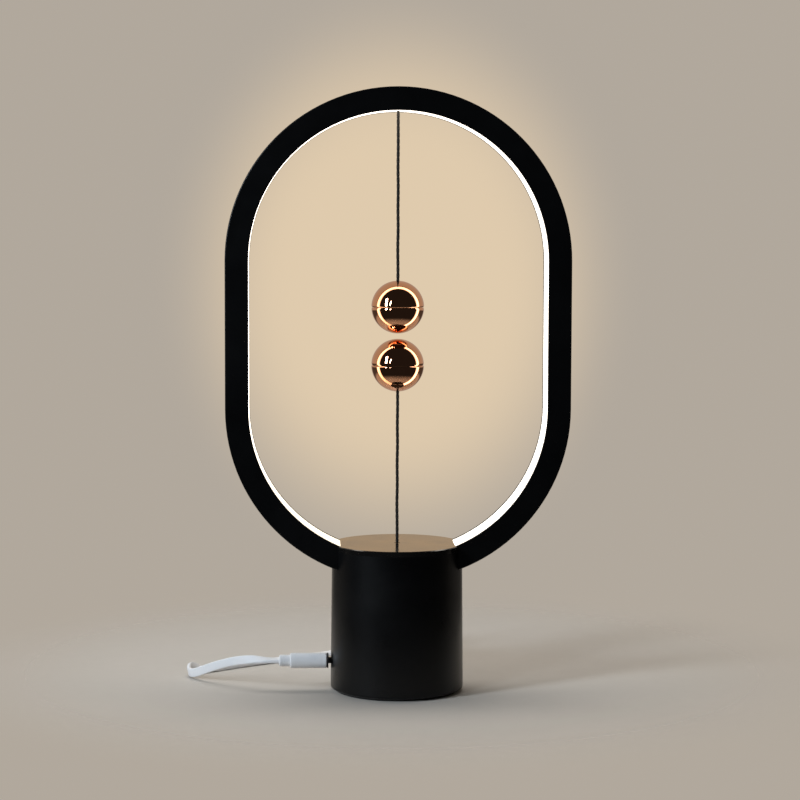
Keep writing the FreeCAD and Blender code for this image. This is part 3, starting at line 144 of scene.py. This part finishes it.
def lathe(name, profile, segments, centre, flip):
    """Turns a closed profile of (radius, height from the centre) about the upright axis, or upside down."""
    vertices, rows, faces = [], [], []
    for radius, height in profile:
        z = centre - height if flip else centre + height
        if radius < 1e-7:
            rows.append([len(vertices)] * segments)
            vertices.append(Vector((0, 0, z)))
            continue
        rows.append(list(range(len(vertices), len(vertices) + segments)))
        for k in range(segments):
            angle = 2 * math.pi * k / segments
            vertices.append(Vector((radius * math.cos(angle), radius * math.sin(angle), z)))
    for i in range(len(rows)):
        here, there = rows[i], rows[(i + 1) % len(rows)]
        for k in range(segments):
            nxt = (k + 1) % segments
            corners = []
            for corner in (here[k], here[nxt], there[nxt], there[k]):
                if corner not in corners:
                    corners.append(corner)
            if len(corners) > 2:
                faces.append(tuple(reversed(corners)) if flip else tuple(corners))
    return add_piece(name, vertices, faces)


# Power lead: one flat white cord from the plug to the far plug, put away in a coil behind the base

LEAD_START = Vector((-48.515, 0, 12.1)) * MM
LEAD_WIDTH = 3.8 * MM
LEAD_THICKNESS = 1.65 * MM
# Share of the thickness that rounds each edge, and how full that round is
LEAD_EDGE = 0.42
LEAD_FULLNESS = 0.7
# The way from the plug to the coil, written from the lead's start, in millimetres
LEAD_ROUTE = [
    (0.0, 0.0, 0.0), (-5.5, 0.0, 0.0), (-12.0, 3.2, -0.1), (-19.0, 8.0, -1.7), (-26.0, 13.3, -4.4),
    (-32.0, 18.6, -7.4), (-36.2, 22.9, -9.7), (-38.8, 27.2, -10.0), (-37.9, 31.8, -8.0),
    (-33.9, 34.9, -10.0), (-29.0, 38.4, -11.2), (-23.5, 42.9, -11.2), (-17.5, 47.6, -11.2),
    (-10.5, 52.6, -11.1), (-2.0, 57.6, -10.8), (8.0, 62.0, -10.3), (18.2, 66.8, -10.2),
]
# The way from the coil to the far plug on top of it
TAIL_ROUTE = [
    (-7.0, 33.7, 15.2), (-12.8, 37.8, 16.9), (-16.1, 44.1, 18.6), (-16.1, 51.2, 20.08), (-12.8, 57.5, 20.08),
]
# Turn of the lead's broad side about its own line, in degrees, by the distance from the plug in metres
LEAD_TWIST = [(0.003, 8), (0.018, 78), (0.046, 92), (0.052, 104), (0.064, 180), (0.120, 180), (0.145, 90),
              (1.015, 90), (1.040, 0)]
COIL_CENTRE = Vector((2.5, 57.0, 0.0)) * MM
COIL_PITCH = 4.06 * MM
COIL_START_RADIUS = 21.445 * MM
COIL_START_ANGLE = 110
COIL_LAYERS = 4
COIL_STEPS = 8
COIL_BULGE = 0.6 * MM
COIL_END_HEIGHT = 13.98 * MM
# Distances along the straight lines by which the lead meets the coil and leaves it
COIL_ENTRY = (-14.4 * MM, -3.6 * MM)
COIL_EXIT = (3.6 * MM, 10.6 * MM)
LINE_STEPS = 8
OUTLINE_POINTS = 24


def coil_places():
    """Places round the coil: three half turns in, a half turn up, three half turns out, and so on."""
    places = []
    radius, angle, height = COIL_START_RADIUS, math.radians(COIL_START_ANGLE), LEAD_WIDTH / 2
    step = -COIL_PITCH / 2
    for layer in range(COIL_LAYERS):
        halves = 4 if layer < COIL_LAYERS - 1 else 3
        for half in range(halves):
            climbs = half == 3
            for k in range(COIL_STEPS):
                share = k / COIL_STEPS
                smooth = share * share * (3 - 2 * share)
                at = radius + (0 if climbs else step * share)
                if climbs:
                    at += math.copysign(COIL_BULGE, step) * math.sin(math.pi * share)
                z = height + (COIL_PITCH * smooth if climbs else 0)
                turn = angle - math.pi * share
                places.append(COIL_CENTRE + Vector((at * math.cos(turn), at * math.sin(turn), z)))
            angle -= math.pi
            if climbs:
                height += COIL_PITCH
                step = -step
            else:
                radius += step
    return places


def beside_coil(degrees, along, height):
    """A place on the line that touches the coil at this angle, measured along it the way the lead winds."""
    angle = math.radians(degrees)
    outward = Vector((math.cos(angle), math.sin(angle), 0))
    onward = Vector((math.sin(angle), -math.cos(angle), 0))
    return COIL_CENTRE + outward * COIL_START_RADIUS + onward * along + Vector((0, 0, height))


def blend_between(table, distance):
    """A value read from (distance, value) pairs with soft steps between them."""
    if distance <= table[0][0]:
        return table[0][1]
    for (start, low), (end, high) in zip(table, table[1:]):
        if distance < end:
            share = (distance - start) / (end - start)
            return low + (high - low) * share * share * (3 - 2 * share)
    return table[-1][1]


def flat_outline(roll):
    """The flat lead's outline with round edges, turned about its middle."""
    edge = LEAD_THICKNESS * LEAD_EDGE
    half = LEAD_WIDTH / 2 - edge
    ring = []
    for k in range(OUTLINE_POINTS):
        angle = 2 * math.pi * k / OUTLINE_POINTS
        a = math.copysign(half, math.cos(angle)) + edge * math.cos(angle)
        b = LEAD_THICKNESS / 2 * math.copysign(abs(math.sin(angle)) ** LEAD_FULLNESS, math.sin(angle))
        ring.append((a * math.cos(roll) - b * math.sin(roll), a * math.sin(roll) + b * math.cos(roll)))
    return ring


def make_lead():
    places = [LEAD_START + Vector(p) * MM for p in LEAD_ROUTE]
    places += [beside_coil(COIL_START_ANGLE, along, LEAD_WIDTH / 2) for along in COIL_ENTRY]
    places += coil_places()
    places += [beside_coil(COIL_START_ANGLE + 180, along, COIL_END_HEIGHT) for along in COIL_EXIT]
    places += [Vector(p) * MM for p in TAIL_ROUTE]
    path = spline_points("lead_line", places, LINE_STEPS)

    def outline(distance):
        return flat_outline(math.radians(blend_between(LEAD_TWIST, distance)))

    lead = sweep("flat_power_lead", path, outline)
    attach(lead, "power_plug")
    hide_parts("power_lead", "power_lead_coil", "power_lead_tail")
    lead.data.materials.append(MATERIALS["white_cable"])
    return lead, path


# The strap round the coil: where it sits, the half sizes of its loop, its width and its thickness
TIE_ANGLE = math.radians(200)
TIE_RADIUS = 19.4 * MM
TIE_MIDDLE = 8.2 * MM
TIE_HALF_OUT = 5.3 * MM
TIE_HALF_UP = 8.1 * MM
TIE_WIDTH = 5.0 * MM
TIE_THICKNESS = 0.5 * MM
TIE_CORNER = 0.42
TIE_STEPS = 64
# The strap's own outline: share of its thickness outwards, and of its width across
TIE_OUTLINE = [(0, -0.5), (0.8, -0.5), (1, -0.42), (1, 0.42), (0.8, 0.5), (0, 0.5)]


def make_tie():
    """A thin strap round all turns of the coil, on its left side."""
    outward = Vector((math.cos(TIE_ANGLE), math.sin(TIE_ANGLE), 0))
    upward = Vector((0, 0, 1))
    across = upward.cross(outward)
    middle = COIL_CENTRE + outward * TIE_RADIUS
    middle.z = TIE_MIDDLE
    vertices = []
    for i in range(TIE_STEPS):
        angle = 2 * math.pi * i / TIE_STEPS
        a = math.copysign(abs(math.cos(angle)) ** TIE_CORNER, math.cos(angle))
        b = math.copysign(abs(math.sin(angle)) ** TIE_CORNER, math.sin(angle))
        for grow, shift in TIE_OUTLINE:
            out = outward * a * (TIE_HALF_OUT + TIE_THICKNESS * grow)
            up = upward * b * (TIE_HALF_UP - TIE_THICKNESS * (1 - grow))
            vertices.append(middle + out + up + across * TIE_WIDTH * shift)
    tie = add_piece("lead_tie", vertices, skin_faces(TIE_STEPS, len(TIE_OUTLINE), True))
    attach(tie, "power_plug")
    tie.data.materials.append(MATERIALS["white_plastic"])
    return tie


# Ball cords: thin black braid, a little wavy

UPPER_PIVOT = 238.1 * MM
LOWER_PIVOT = 61.7 * MM
UPPER_BALL = 158.2 * MM
LOWER_BALL = 134.4 * MM
BALL_RADIUS = 10.8 * MM
CORD_RADIUS = 0.6 * MM
BRAID_PITCH = 2.6 * MM
BRAID_STRANDS = 4
BRAID_RELIEF = 0.10
CORD_STEPS = 60
CORD_SHARP_DEGREES = 60
# The cords' slight waves, to the side and to the back in millimetres, at even heights
UPPER_WAVES = [(0, 0), (0, 0), (0.08, 0.05), (-0.10, -0.04), (0.12, 0.06), (-0.05, 0), (0.10, -0.05),
               (-0.08, 0.03), (0.04, 0), (0, 0), (0, 0)]
LOWER_WAVES = [(0, 0), (0, 0), (-0.16, 0.04), (0.06, -0.05), (-0.12, 0.04), (0.10, 0), (-0.06, 0.05),
               (0.08, 0), (0, 0), (0, 0)]


def braid_outline(distance):
    """A round braid: two sets of strands that wind opposite ways, each crossing over the other."""
    ring = []
    turn = distance / BRAID_PITCH * 2 * math.pi
    for k in range(OUTLINE_POINTS):
        angle = 2 * math.pi * k / OUTLINE_POINTS
        one = math.cos(BRAID_STRANDS * angle + turn)
        other = math.cos(BRAID_STRANDS * angle - turn)
        radius = CORD_RADIUS * (1.0 + BRAID_RELIEF * max(one, other))
        ring.append((radius * math.cos(angle), radius * math.sin(angle)))
    return ring


def make_ball_cord(name, waves, low, high, body, node):
    count = len(waves) - 1
    places = [Vector((x * MM, y * MM, low + (high - low) * i / count)) for i, (x, y) in enumerate(waves)]
    path = spline_points(name + "_line", places, CORD_STEPS)
    cord = sweep(name, path, braid_outline, Vector((0, 1, 0)), CORD_SHARP_DEGREES)
    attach(cord, body)
    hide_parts(node)
    cord.data.materials.append(MATERIALS["cord_fibre"])
    return cord


def make_ball_cords():
    """Each cord runs from inside its bead, in the ring's top or in the base's plate, to inside its ball."""
    make_ball_cord("upper_braided_cord", UPPER_WAVES, UPPER_BALL - 0.2 * MM, UPPER_PIVOT + 0.25 * MM,
                   "upper_pendulum", "upper_cord")
    lower_top = LOWER_BALL - 0.6 * MM
    lower = make_ball_cord("lower_braided_cord", LOWER_WAVES, LOWER_PIVOT - 0.2 * MM, lower_top,
                           "lower_stalk", "lower_cord")
    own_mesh(lower)


# Balls: two bright half shells each, with rounded lips at the seam and at the cord's hole

SHELL_WALL = 1.0 * MM
SEAM_HALF_GAP = 0.05 * MM
LIP_DROP = 0.26 * MM
# Each half's lip beside the seam, in millimetres: how far it has risen to the ball's surface, and its height
CORD_SIDE_LIP = [(0.0, 0.05), (0.09, 0.15), (0.17, 0.26), (0.22, 0.35), (0.25, 0.45), (0.26, 0.56)]
MAGNET_SIDE_LIP = [(0.0, 0.05), (0.10, 0.29), (0.18, 0.55), (0.23, 0.85), (0.255, 1.15), (0.26, 1.45)]
LIP_FOOT = 0.06 * MM
LIP_TO_BALL = 0.09 * MM
HOLE_ROOM = 0.3 * MM
HOLE_ROUND = 0.15 * MM
# The hole's rounded edge, in millimetres: how far outside the hole, and how far down
HOLE_EDGE = [(0.07, 0.02), (0.01, 0.08), (0.0, 0.16)]
SHELL_STEPS = 56
INNER_STEPS = 16
SHELL_SEGMENTS = 160


def half_profile(with_hole):
    """Closed outline of one half shell, as (radius, height) from the ball's centre."""
    radius, inner = BALL_RADIUS, BALL_RADIUS - SHELL_WALL
    lip = CORD_SIDE_LIP if with_hole else MAGNET_SIDE_LIP
    profile = [(inner, SEAM_HALF_GAP), (radius - LIP_DROP - LIP_FOOT, SEAM_HALF_GAP)]
    for rise, height in lip:
        on_ball = math.sqrt(radius ** 2 - (height * MM) ** 2)
        profile.append((on_ball - LIP_DROP + rise * MM, height * MM))
    start = math.asin((lip[-1][1] * MM + LIP_TO_BALL) / radius)
    hole = CORD_RADIUS + HOLE_ROOM
    end = math.acos((hole + HOLE_ROUND) / radius) if with_hole else math.pi / 2
    for k in range(SHELL_STEPS + 1):
        angle = start + (end - start) * k / SHELL_STEPS
        profile.append((max(radius * math.cos(angle), 0.0), radius * math.sin(angle)))
    if with_hole:
        top = radius * math.sin(end)
        profile += [(hole + outside * MM, top - down * MM) for outside, down in HOLE_EDGE]
        profile.append((hole, math.sqrt(inner ** 2 - hole ** 2)))
        inner_end = math.acos(hole / inner)
    else:
        profile.append((0.0, inner))
        inner_end = math.pi / 2
    for k in range(1, INNER_STEPS):
        angle = inner_end * (1 - k / INNER_STEPS)
        profile.append((inner * math.cos(angle), inner * math.sin(angle)))
    return profile


def make_balls():
    for prefix, centre, body, cord_up in (("upper_ball", UPPER_BALL, "upper_pendulum", True),
                                          ("lower_ball", LOWER_BALL, "lower_ball", False)):
        for side, with_hole in (("cord", True), ("magnet", False)):
            shell = lathe(f"{prefix}_{side}_shell", half_profile(with_hole), SHELL_SEGMENTS, centre,
                          cord_up != with_hole)
            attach(shell, body)
            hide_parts(f"{prefix}_{side}_half")
            shell.data.materials.append(MATERIALS["copper_mirror"])


# Materials

class Graph:
    """Short calls for building one tree of nodes."""

    def __init__(self, tree, place):
        self.tree = tree
        self.place = tree.nodes.new("ShaderNodeTexCoord").outputs[place]

    def link(self, start, end):
        self.tree.links.new(start, end)

    def split(self):
        """The place or direction as its X, Y and Z."""
        node = self.tree.nodes.new("ShaderNodeSeparateXYZ")
        self.link(self.place, node.inputs["Vector"])
        return node.outputs

    def noise(self, size, detail, roughness=0.55, stretch=None, distortion=0.0):
        node = self.tree.nodes.new("ShaderNodeTexNoise")
        node.inputs["Scale"].default_value = 1 / size
        node.inputs["Detail"].default_value = detail
        node.inputs["Roughness"].default_value = roughness
        node.inputs["Distortion"].default_value = distortion
        start = self.place
        if stretch:
            mapping = self.tree.nodes.new("ShaderNodeMapping")
            mapping.inputs["Scale"].default_value = stretch
            self.link(start, mapping.inputs["Vector"])
            start = mapping.outputs["Vector"]
        self.link(start, node.inputs["Vector"])
        return node.outputs["Fac"]

    def cells(self, size, feature="F1"):
        node = self.tree.nodes.new("ShaderNodeTexVoronoi")
        node.feature = feature
        node.inputs["Scale"].default_value = 1 / size
        self.link(self.place, node.inputs["Vector"])
        return node.outputs["Distance"]

    def remap(self, value, low, high, to_low=0, to_high=1, course="LINEAR"):
        node = self.tree.nodes.new("ShaderNodeMapRange")
        node.interpolation_type = course
        for name, number in (("From Min", low), ("From Max", high), ("To Min", to_low), ("To Max", to_high)):
            node.inputs[name].default_value = number
        self.link(value, node.inputs["Value"])
        return node.outputs["Result"]

    def soft(self, value, low, high):
        return self.remap(value, low, high, course="SMOOTHSTEP")

    def maths(self, operation, *values):
        node = self.tree.nodes.new("ShaderNodeMath")
        node.operation = operation
        for socket, value in zip(node.inputs, values):
            if isinstance(value, (int, float)):
                socket.default_value = value
            else:
                self.link(value, socket)
        return node.outputs["Value"]

    def vector_maths(self, operation, start, offset=None):
        node = self.tree.nodes.new("ShaderNodeVectorMath")
        node.operation = operation
        self.link(start, node.inputs[0])
        if offset:
            node.inputs[1].default_value = offset
        return node.outputs["Vector" if offset else "Value"]

    def mix(self, share, one, other):
        node = self.tree.nodes.new("ShaderNodeMix")
        node.data_type = "RGBA"
        self.link(share, node.inputs["Factor"])
        sockets = [socket for socket in node.inputs if socket.type == "RGBA"]
        for socket, value in zip(sockets, (one, other)):
            if isinstance(value, tuple):
                socket.default_value = (*value, 1)
            else:
                self.link(value, socket)
        return next(socket for socket in node.outputs if socket.type == "RGBA")


class Surface(Graph):
    """A material and short calls for its shader."""

    def __init__(self, name):
        self.material = bpy.data.materials.new(name)
        self.material.use_nodes = True
        super().__init__(self.material.node_tree, "Object")
        self.shader = self.tree.nodes["Principled BSDF"]

    def feed(self, **values):
        for name, value in values.items():
            self.link(value, self.shader.inputs[name.replace("_", " ")])

    def set(self, **values):
        for name, value in values.items():
            self.shader.inputs[name.replace("_", " ")].default_value = value

    def bump(self, height, depth, strength=1.0):
        node = self.tree.nodes.new("ShaderNodeBump")
        node.inputs["Strength"].default_value = strength
        node.inputs["Distance"].default_value = depth
        self.link(height, node.inputs["Height"])
        self.link(node.outputs["Normal"], self.shader.inputs["Normal"])


def moulded(name, colour, other, roughness, blotch, grain, depth, metallic=0.0, stretch=None, specular=0.5):
    """Plastic, rubber or metal with soft colour change, uneven gloss and a fine surface grain."""
    n = Surface(name)
    wide = n.noise(blotch * MM, 5)
    fine = n.noise(grain * MM, 3, 0.6, stretch)
    uneven = n.maths("ADD", n.remap(wide, 0.3, 0.7, *roughness), n.remap(fine, 0.3, 0.7, -0.03, 0.03))
    n.feed(Base_Color=n.mix(n.remap(wide, 0.3, 0.7), colour, other), Roughness=uneven)
    n.bump(fine, depth * MM)
    n.set(Metallic=metallic, Specular_IOR_Level=specular)
    return n.material


# Each slot's material name, two shades, range of roughness, size of its blotches and of its grain, depth of
# the grain, all in millimetres, and what else its finish has
MOULDED = {
    "black_plastic": (("satin_black_plastic", (0.0020, 0.0021, 0.0024), (0.0033, 0.0034, 0.0038),
                       (0.27, 0.35), 22, 0.22, 0.004), {"specular": 0.25}),
    "plate_plastic": (("smooth_black_plate", (0.0048, 0.0044, 0.0042), (0.0070, 0.0066, 0.0062),
                       (0.12, 0.17), 14, 0.25, 0.0008), {"specular": 0.62}),
    "black_trim": (("black_trim", (0.006, 0.006, 0.006), (0.011, 0.010, 0.010),
                    (0.42, 0.55), 6, 0.2, 0.005), {"specular": 0.3}),
    "inner_plastic": (("grey_plastic", (0.27, 0.27, 0.28), (0.33, 0.33, 0.34),
                       (0.45, 0.58), 9, 0.3, 0.01), {}),
    "strip_board": (("white_strip", (0.82, 0.82, 0.78), (0.88, 0.87, 0.82),
                     (0.38, 0.5), 6, 0.3, 0.01), {}),
    "led_chip": (("light_chip", (0.86, 0.74, 0.36), (0.93, 0.84, 0.50),
                  (0.25, 0.35), 1.2, 0.2, 0.01), {}),
    "magnet": (("nickel_plating", (0.54, 0.53, 0.51), (0.60, 0.59, 0.57),
                (0.18, 0.30), 4, 0.3, 0.002), {"metallic": 1.0}),
    "screw_steel": (("turned_steel", (0.50, 0.51, 0.53), (0.60, 0.61, 0.63),
                     (0.25, 0.38), 2, 0.15, 0.004), {"metallic": 1.0, "stretch": (1, 1, 6)}),
    "cast_weight": (("cast_iron", (0.14, 0.14, 0.15), (0.22, 0.22, 0.22),
                     (0.55, 0.72), 3, 0.6, 0.05), {"metallic": 0.8}),
    "board_parts": (("board_parts", (0.03, 0.03, 0.03), (0.06, 0.06, 0.065),
                     (0.35, 0.5), 3, 0.25, 0.008), {}),
    "button_plastic": (("button_plastic", (0.50, 0.06, 0.05), (0.62, 0.08, 0.06),
                        (0.35, 0.45), 2, 0.25, 0.008), {}),
    "wire_skin": (("wire_skin", (0.30, 0.035, 0.03), (0.40, 0.05, 0.04),
                   (0.35, 0.5), 4, 0.3, 0.008), {}),
    "brass_pin": (("brass", (0.72, 0.55, 0.25), (0.80, 0.64, 0.33),
                   (0.2, 0.3), 2, 0.2, 0.003), {"metallic": 1.0}),
    "plug_metal": (("plug_metal", (0.56, 0.57, 0.58), (0.66, 0.66, 0.67),
                    (0.2, 0.32), 3, 0.2, 0.003), {"metallic": 1.0, "stretch": (6, 1, 6)}),
    "white_plastic": (("white_gloss_plastic", (0.78, 0.79, 0.81), (0.83, 0.83, 0.84),
                       (0.24, 0.34), 7, 0.5, 0.004), {}),
    "white_cable": (("white_cable_skin", (0.76, 0.77, 0.79), (0.82, 0.82, 0.83),
                     (0.36, 0.46), 9, 0.4, 0.006), {}),
}

# The lit band's light in its middle, at its two edges and at its low left end, and where that end begins and
# is full, by height and to the side
BAND_HALF_DEPTH = 8.5 * MM
BAND_END_TOP, BAND_END_FOOT = 120 * MM, 62 * MM
BAND_END_RIGHT, BAND_END_LEFT = -6 * MM, -22 * MM
BAND_MIDDLE, BAND_EDGE, BAND_LOW_END = 4.0, 1.05, 1.02


def make_diffuser_material():
    """Frosted warm-white cover over the light strip, brightest in its middle, dimmer at its low left end."""
    n = Surface("lit_diffuser")
    x, y, z = n.split()
    low = n.remap(z, BAND_END_FOOT, BAND_END_TOP, 1, 0)
    left = n.remap(x, BAND_END_RIGHT, BAND_END_LEFT)
    dim = n.maths("MULTIPLY", low, left)
    off_middle = n.maths("POWER", n.maths("MULTIPLY", y, 1 / BAND_HALF_DEPTH), 2)
    cloud = n.noise(9 * MM, 3)
    yellow = n.maths("ADD", n.maths("MULTIPLY", dim, 0.9), n.remap(cloud, 0.3, 0.7, 0, 0.08))
    strip = n.maths("MULTIPLY", n.remap(off_middle, 0, 1, BAND_MIDDLE, BAND_EDGE),
                    n.remap(cloud, 0.3, 0.7, 0.97, 1.03))
    strength = n.maths("ADD", n.maths("MULTIPLY", strip, n.remap(dim, 0, 1, 1, 0)),
                       n.maths("MULTIPLY", dim, BAND_LOW_END))
    n.feed(Emission_Color=n.mix(yellow, (1.0, 0.90, 0.79), (1.0, 0.85, 0.60)),
           Emission_Strength=strength,
           Base_Color=n.mix(n.remap(cloud, 0.3, 0.7), (0.90, 0.86, 0.78), (0.86, 0.82, 0.73)))
    n.bump(n.noise(0.25 * MM, 2), 0.01 * MM)
    n.set(Roughness=0.5)
    return n.material


def make_copper_material():
    """Mirror-bright copper plating with faint smudges and hairline marks from handling."""
    n = Surface("mirror_copper")
    smudge = n.noise(5 * MM, 6, 0.6, None, 0.4)
    hair = n.noise(0.6 * MM, 2, 0.5, (1, 1, 12))
    rough = n.maths("ADD", n.remap(smudge, 0.5, 0.75, 0.02, 0.085), n.remap(hair, 0.62, 0.8, 0, 0.05))
    n.feed(Base_Color=n.mix(n.remap(smudge, 0.35, 0.7), (0.92, 0.46, 0.26), (0.86, 0.42, 0.235)),
           Roughness=rough)
    n.bump(hair, 0.0006 * MM, 0.3)
    n.set(Metallic=1.0)
    return n.material


def make_cord_material():
    """Matt black thread that is a little paler on its raised fibres."""
    n = Surface("black_braid")
    thread = n.noise(0.12 * MM, 3, 0.6, (1, 1, 0.35))
    n.feed(Base_Color=n.mix(n.remap(thread, 0.3, 0.7), (0.004, 0.004, 0.004), (0.014, 0.013, 0.012)),
           Roughness=n.remap(thread, 0.3, 0.7, 0.65, 0.9))
    n.bump(thread, 0.02 * MM)
    n.set(Sheen_Weight=0.08, Sheen_Roughness=0.4, Specular_IOR_Level=0.3)
    return n.material


def make_board_material():
    """Green circuit board with paler copper tracks under the lacquer."""
    n = Surface("circuit_board")
    line = n.remap(n.cells(3.2 * MM, "DISTANCE_TO_EDGE"), 0.03, 0.06, 1, 0)
    fine = n.noise(0.5 * MM, 3)
    n.feed(Base_Color=n.mix(n.maths("MULTIPLY", line, 0.8), (0.03, 0.16, 0.07), (0.10, 0.34, 0.16)),
           Roughness=n.remap(fine, 0.3, 0.7, 0.28, 0.42))
    n.bump(line, 0.03 * MM)
    return n.material


def make_foot_material():
    """Dark foam rubber with open pores."""
    n = Surface("foot_rubber")
    pores = n.cells(0.5 * MM)
    wide = n.noise(8 * MM, 4)
    n.feed(Base_Color=n.mix(n.remap(pores, 0.1, 0.6), (0.010, 0.010, 0.010), (0.028, 0.027, 0.026)),
           Roughness=n.remap(wide, 0.3, 0.7, 0.78, 0.92))
    n.bump(pores, 0.05 * MM)
    return n.material


MATERIALS = {}


def make_materials():
    for slot, (finish, extras) in MOULDED.items():
        MATERIALS[slot] = moulded(*finish, **extras)
    MATERIALS["diffuser"] = make_diffuser_material()
    MATERIALS["copper_mirror"] = make_copper_material()
    MATERIALS["cord_fibre"] = make_cord_material()
    MATERIALS["circuit_board"] = make_board_material()
    MATERIALS["foot_rubber"] = make_foot_material()


def dress_nodes():
    """Gives each CAD node its slot's material; the top plate is smoother than the other black plastic."""
    for part in frame["record"]["subparts"]:
        node = frame["nodes"][part["node"]]
        node.data.materials.clear()
        slot = "plate_plastic" if part["node"] == "base_top_plate" else part["material_slot"]
        node.data.materials.append(MATERIALS[slot])


# Floor, background and lamps

FLOOR_HALF_WIDTH = 3.0
FLOOR_STEPS = 12
FLOOR_MIDDLE = (0, 0.050, 0)
FLOOR_SOLID_REACH, FLOOR_FADED_REACH = 0.088, 0.21

DARK_ROOM = (0.016, 0.015, 0.015)
PALE_WALL = (0.44, 0.392, 0.335)
PAINTED_WARM_GLOW = (0.74, 0.595, 0.42)
AMBER_GLOW = (0.84, 0.57, 0.33)
# The glow behind the ring, painted on the wall as the ring's light there, and the one above it that the top
# plate mirrors: the slopes across and up of its centre, its height for its width, and the slopes at which it
# is full and at which it ends
WALL_GLOW = ((0.041, -0.028), 1.25, 0.040, 0.112)
HIGH_GLOW = ((0.041, 0.160), 0.55, 0.05, 0.13)
# Where the mirrored room is dark and pale, by how far a direction points backwards, and the dim patch low at
# its sides, by that and by how far it points up
ROOM_DARK, ROOM_PALE = -0.02, 0.42
SIDE_PALE, SIDE_DIM = 0.955, 0.86
PATCH_TOP, PATCH_TOP_FULL, PATCH_FOOT_FULL, PATCH_FOOT = -0.04, -0.12, -0.30, -0.46
PATCH_SHADE = 0.88


def make_floor():
    """A pale floor that fades into the background with distance."""
    row = FLOOR_STEPS + 1
    places = [FLOOR_HALF_WIDTH * (2 * i / FLOOR_STEPS - 1) for i in range(row)]
    vertices = [Vector((x, y, 0)) for x in places for y in places]
    corners = [i * row + k for i in range(FLOOR_STEPS) for k in range(FLOOR_STEPS)]
    floor = add_piece("floor", vertices, [(a, a + row, a + row + 1, a + 1) for a in corners])
    n = Surface("pale_floor")
    grain = n.noise(6 * MM, 4)
    reach = n.vector_maths("LENGTH", n.vector_maths("SUBTRACT", n.place, FLOOR_MIDDLE))
    fade = n.remap(reach, FLOOR_SOLID_REACH, FLOOR_FADED_REACH, 1, 0, "SMOOTHSTEP")
    n.feed(Base_Color=n.mix(grain, (0.52, 0.485, 0.44), (0.55, 0.515, 0.47)), Alpha=fade)
    n.set(Roughness=0.75, Specular_IOR_Level=0.25)
    n.bump(grain, 0.01 * MM)
    floor.data.materials.append(n.material)


def oval_glow(n, direction, centre, tall, full, end):
    """Share of an oval glow behind the lamp, by the slope of the direction: 1 inside it, 0 past its end."""
    x, y, z = direction
    away = n.maths("MAXIMUM", y, 0.01)
    across = n.maths("SUBTRACT", n.maths("DIVIDE", x, away), centre[0])
    height = n.maths("DIVIDE", n.maths("SUBTRACT", n.maths("DIVIDE", z, away), centre[1]), tall)
    reach = n.maths("SQRT", n.maths("ADD", n.maths("MULTIPLY", across, across),
                                    n.maths("MULTIPLY", height, height)))
    return n.remap(reach, end, full, course="SMOOTHERSTEP")


def make_world():
    """A pale wall with a warm glow painted on it, standing in for the ring's light on the wall. What the eye
    sees past the lamp is pale all round; what gloss and soft light get is pale behind the lamp, and dark in
    front and low at the sides, as in a dim room."""
    world = bpy.data.worlds.new("studio")
    bpy.context.scene.world = world
    world.use_nodes = True
    n = Graph(world.node_tree, "Generated")
    direction = n.split()
    x, y, z = direction
    rays = n.tree.nodes.new("ShaderNodeLightPath").outputs
    seen = n.maths("MAXIMUM", rays["Is Camera Ray"], rays["Is Transmission Ray"])
    behind = n.soft(y, ROOM_DARK, ROOM_PALE)
    side = n.soft(y, SIDE_PALE, SIDE_DIM)
    low = n.maths("MULTIPLY", n.soft(z, PATCH_TOP, PATCH_TOP_FULL), n.soft(z, PATCH_FOOT, PATCH_FOOT_FULL))
    shaded = n.maths("MULTIPLY", n.maths("MULTIPLY", side, low), PATCH_SHADE)
    mirrored = n.maths("MULTIPLY", behind, n.maths("SUBTRACT", 1, shaded))
    room = n.mix(n.maths("MAXIMUM", seen, mirrored), DARK_ROOM, PALE_WALL)
    # Painted warm glow: the ring's light on the wall behind it, put into the background's colour
    room = n.mix(oval_glow(n, direction, *WALL_GLOW), room, PAINTED_WARM_GLOW)
    high = oval_glow(n, direction, *HIGH_GLOW)
    room = n.mix(n.maths("MULTIPLY", high, n.maths("SUBTRACT", 1, seen)), room, AMBER_GLOW)
    background = n.tree.nodes["Background"]
    n.link(room, background.inputs["Color"])
    background.inputs["Strength"].default_value = 1.0


# The lamps face this place. Each has its name, its angles to the left of the front and up in degrees, its
# distance, width, height, power, colour, tilt in degrees, and whether gloss shows it
LAMP_TARGET = Vector((0, 0, 0.13))
COOL_LIGHT = (0.80, 0.90, 1.0)
PLAIN_LIGHT = (1.0, 0.98, 0.95)
LAMPS = [
    ("left_window_lamp", 56, 21, 1.1, 0.15, 0.56, 8.0, COOL_LIGHT, 8, True),
    ("front_window_lamp", 35, 19, 1.1, 0.06, 0.36, 1.6, COOL_LIGHT, -10, True),
    ("overhead_lamp", 180, 72, 1.3, 1.1, 0.9, 10.0, PLAIN_LIGHT, 0, False),
]


def make_lamps():
    for name, azimuth, elevation, distance, width, height, power, colour, tilt, in_gloss in LAMPS:
        a, e = math.radians(azimuth), math.radians(elevation)
        outward = Vector((-math.sin(a) * math.cos(e), -math.cos(a) * math.cos(e), math.sin(e)))
        data = bpy.data.lights.new(name, "AREA")
        data.shape = "RECTANGLE"
        data.size, data.size_y = width, height
        data.energy = power
        data.color = colour
        lamp = bpy.data.objects.new(name, data)
        bpy.context.scene.collection.objects.link(lamp)
        lamp.location = LAMP_TARGET + outward * distance
        lamp.rotation_mode = "QUATERNION"
        facing = (-outward).to_track_quat("-Z", "Y")
        lamp.rotation_quaternion = facing @ Quaternion((0, 0, 1), math.radians(tilt))
        lamp.visible_camera = False
        lamp.visible_glossy = in_gloss


# Put together

make_camera()
make_materials()
dress_nodes()
lead, lead_path = make_lead()
tie = make_tie()
make_ball_cords()
make_balls()
make_floor()
make_world()
make_lamps()
bpy.context.scene.view_settings.view_transform = "Standard"
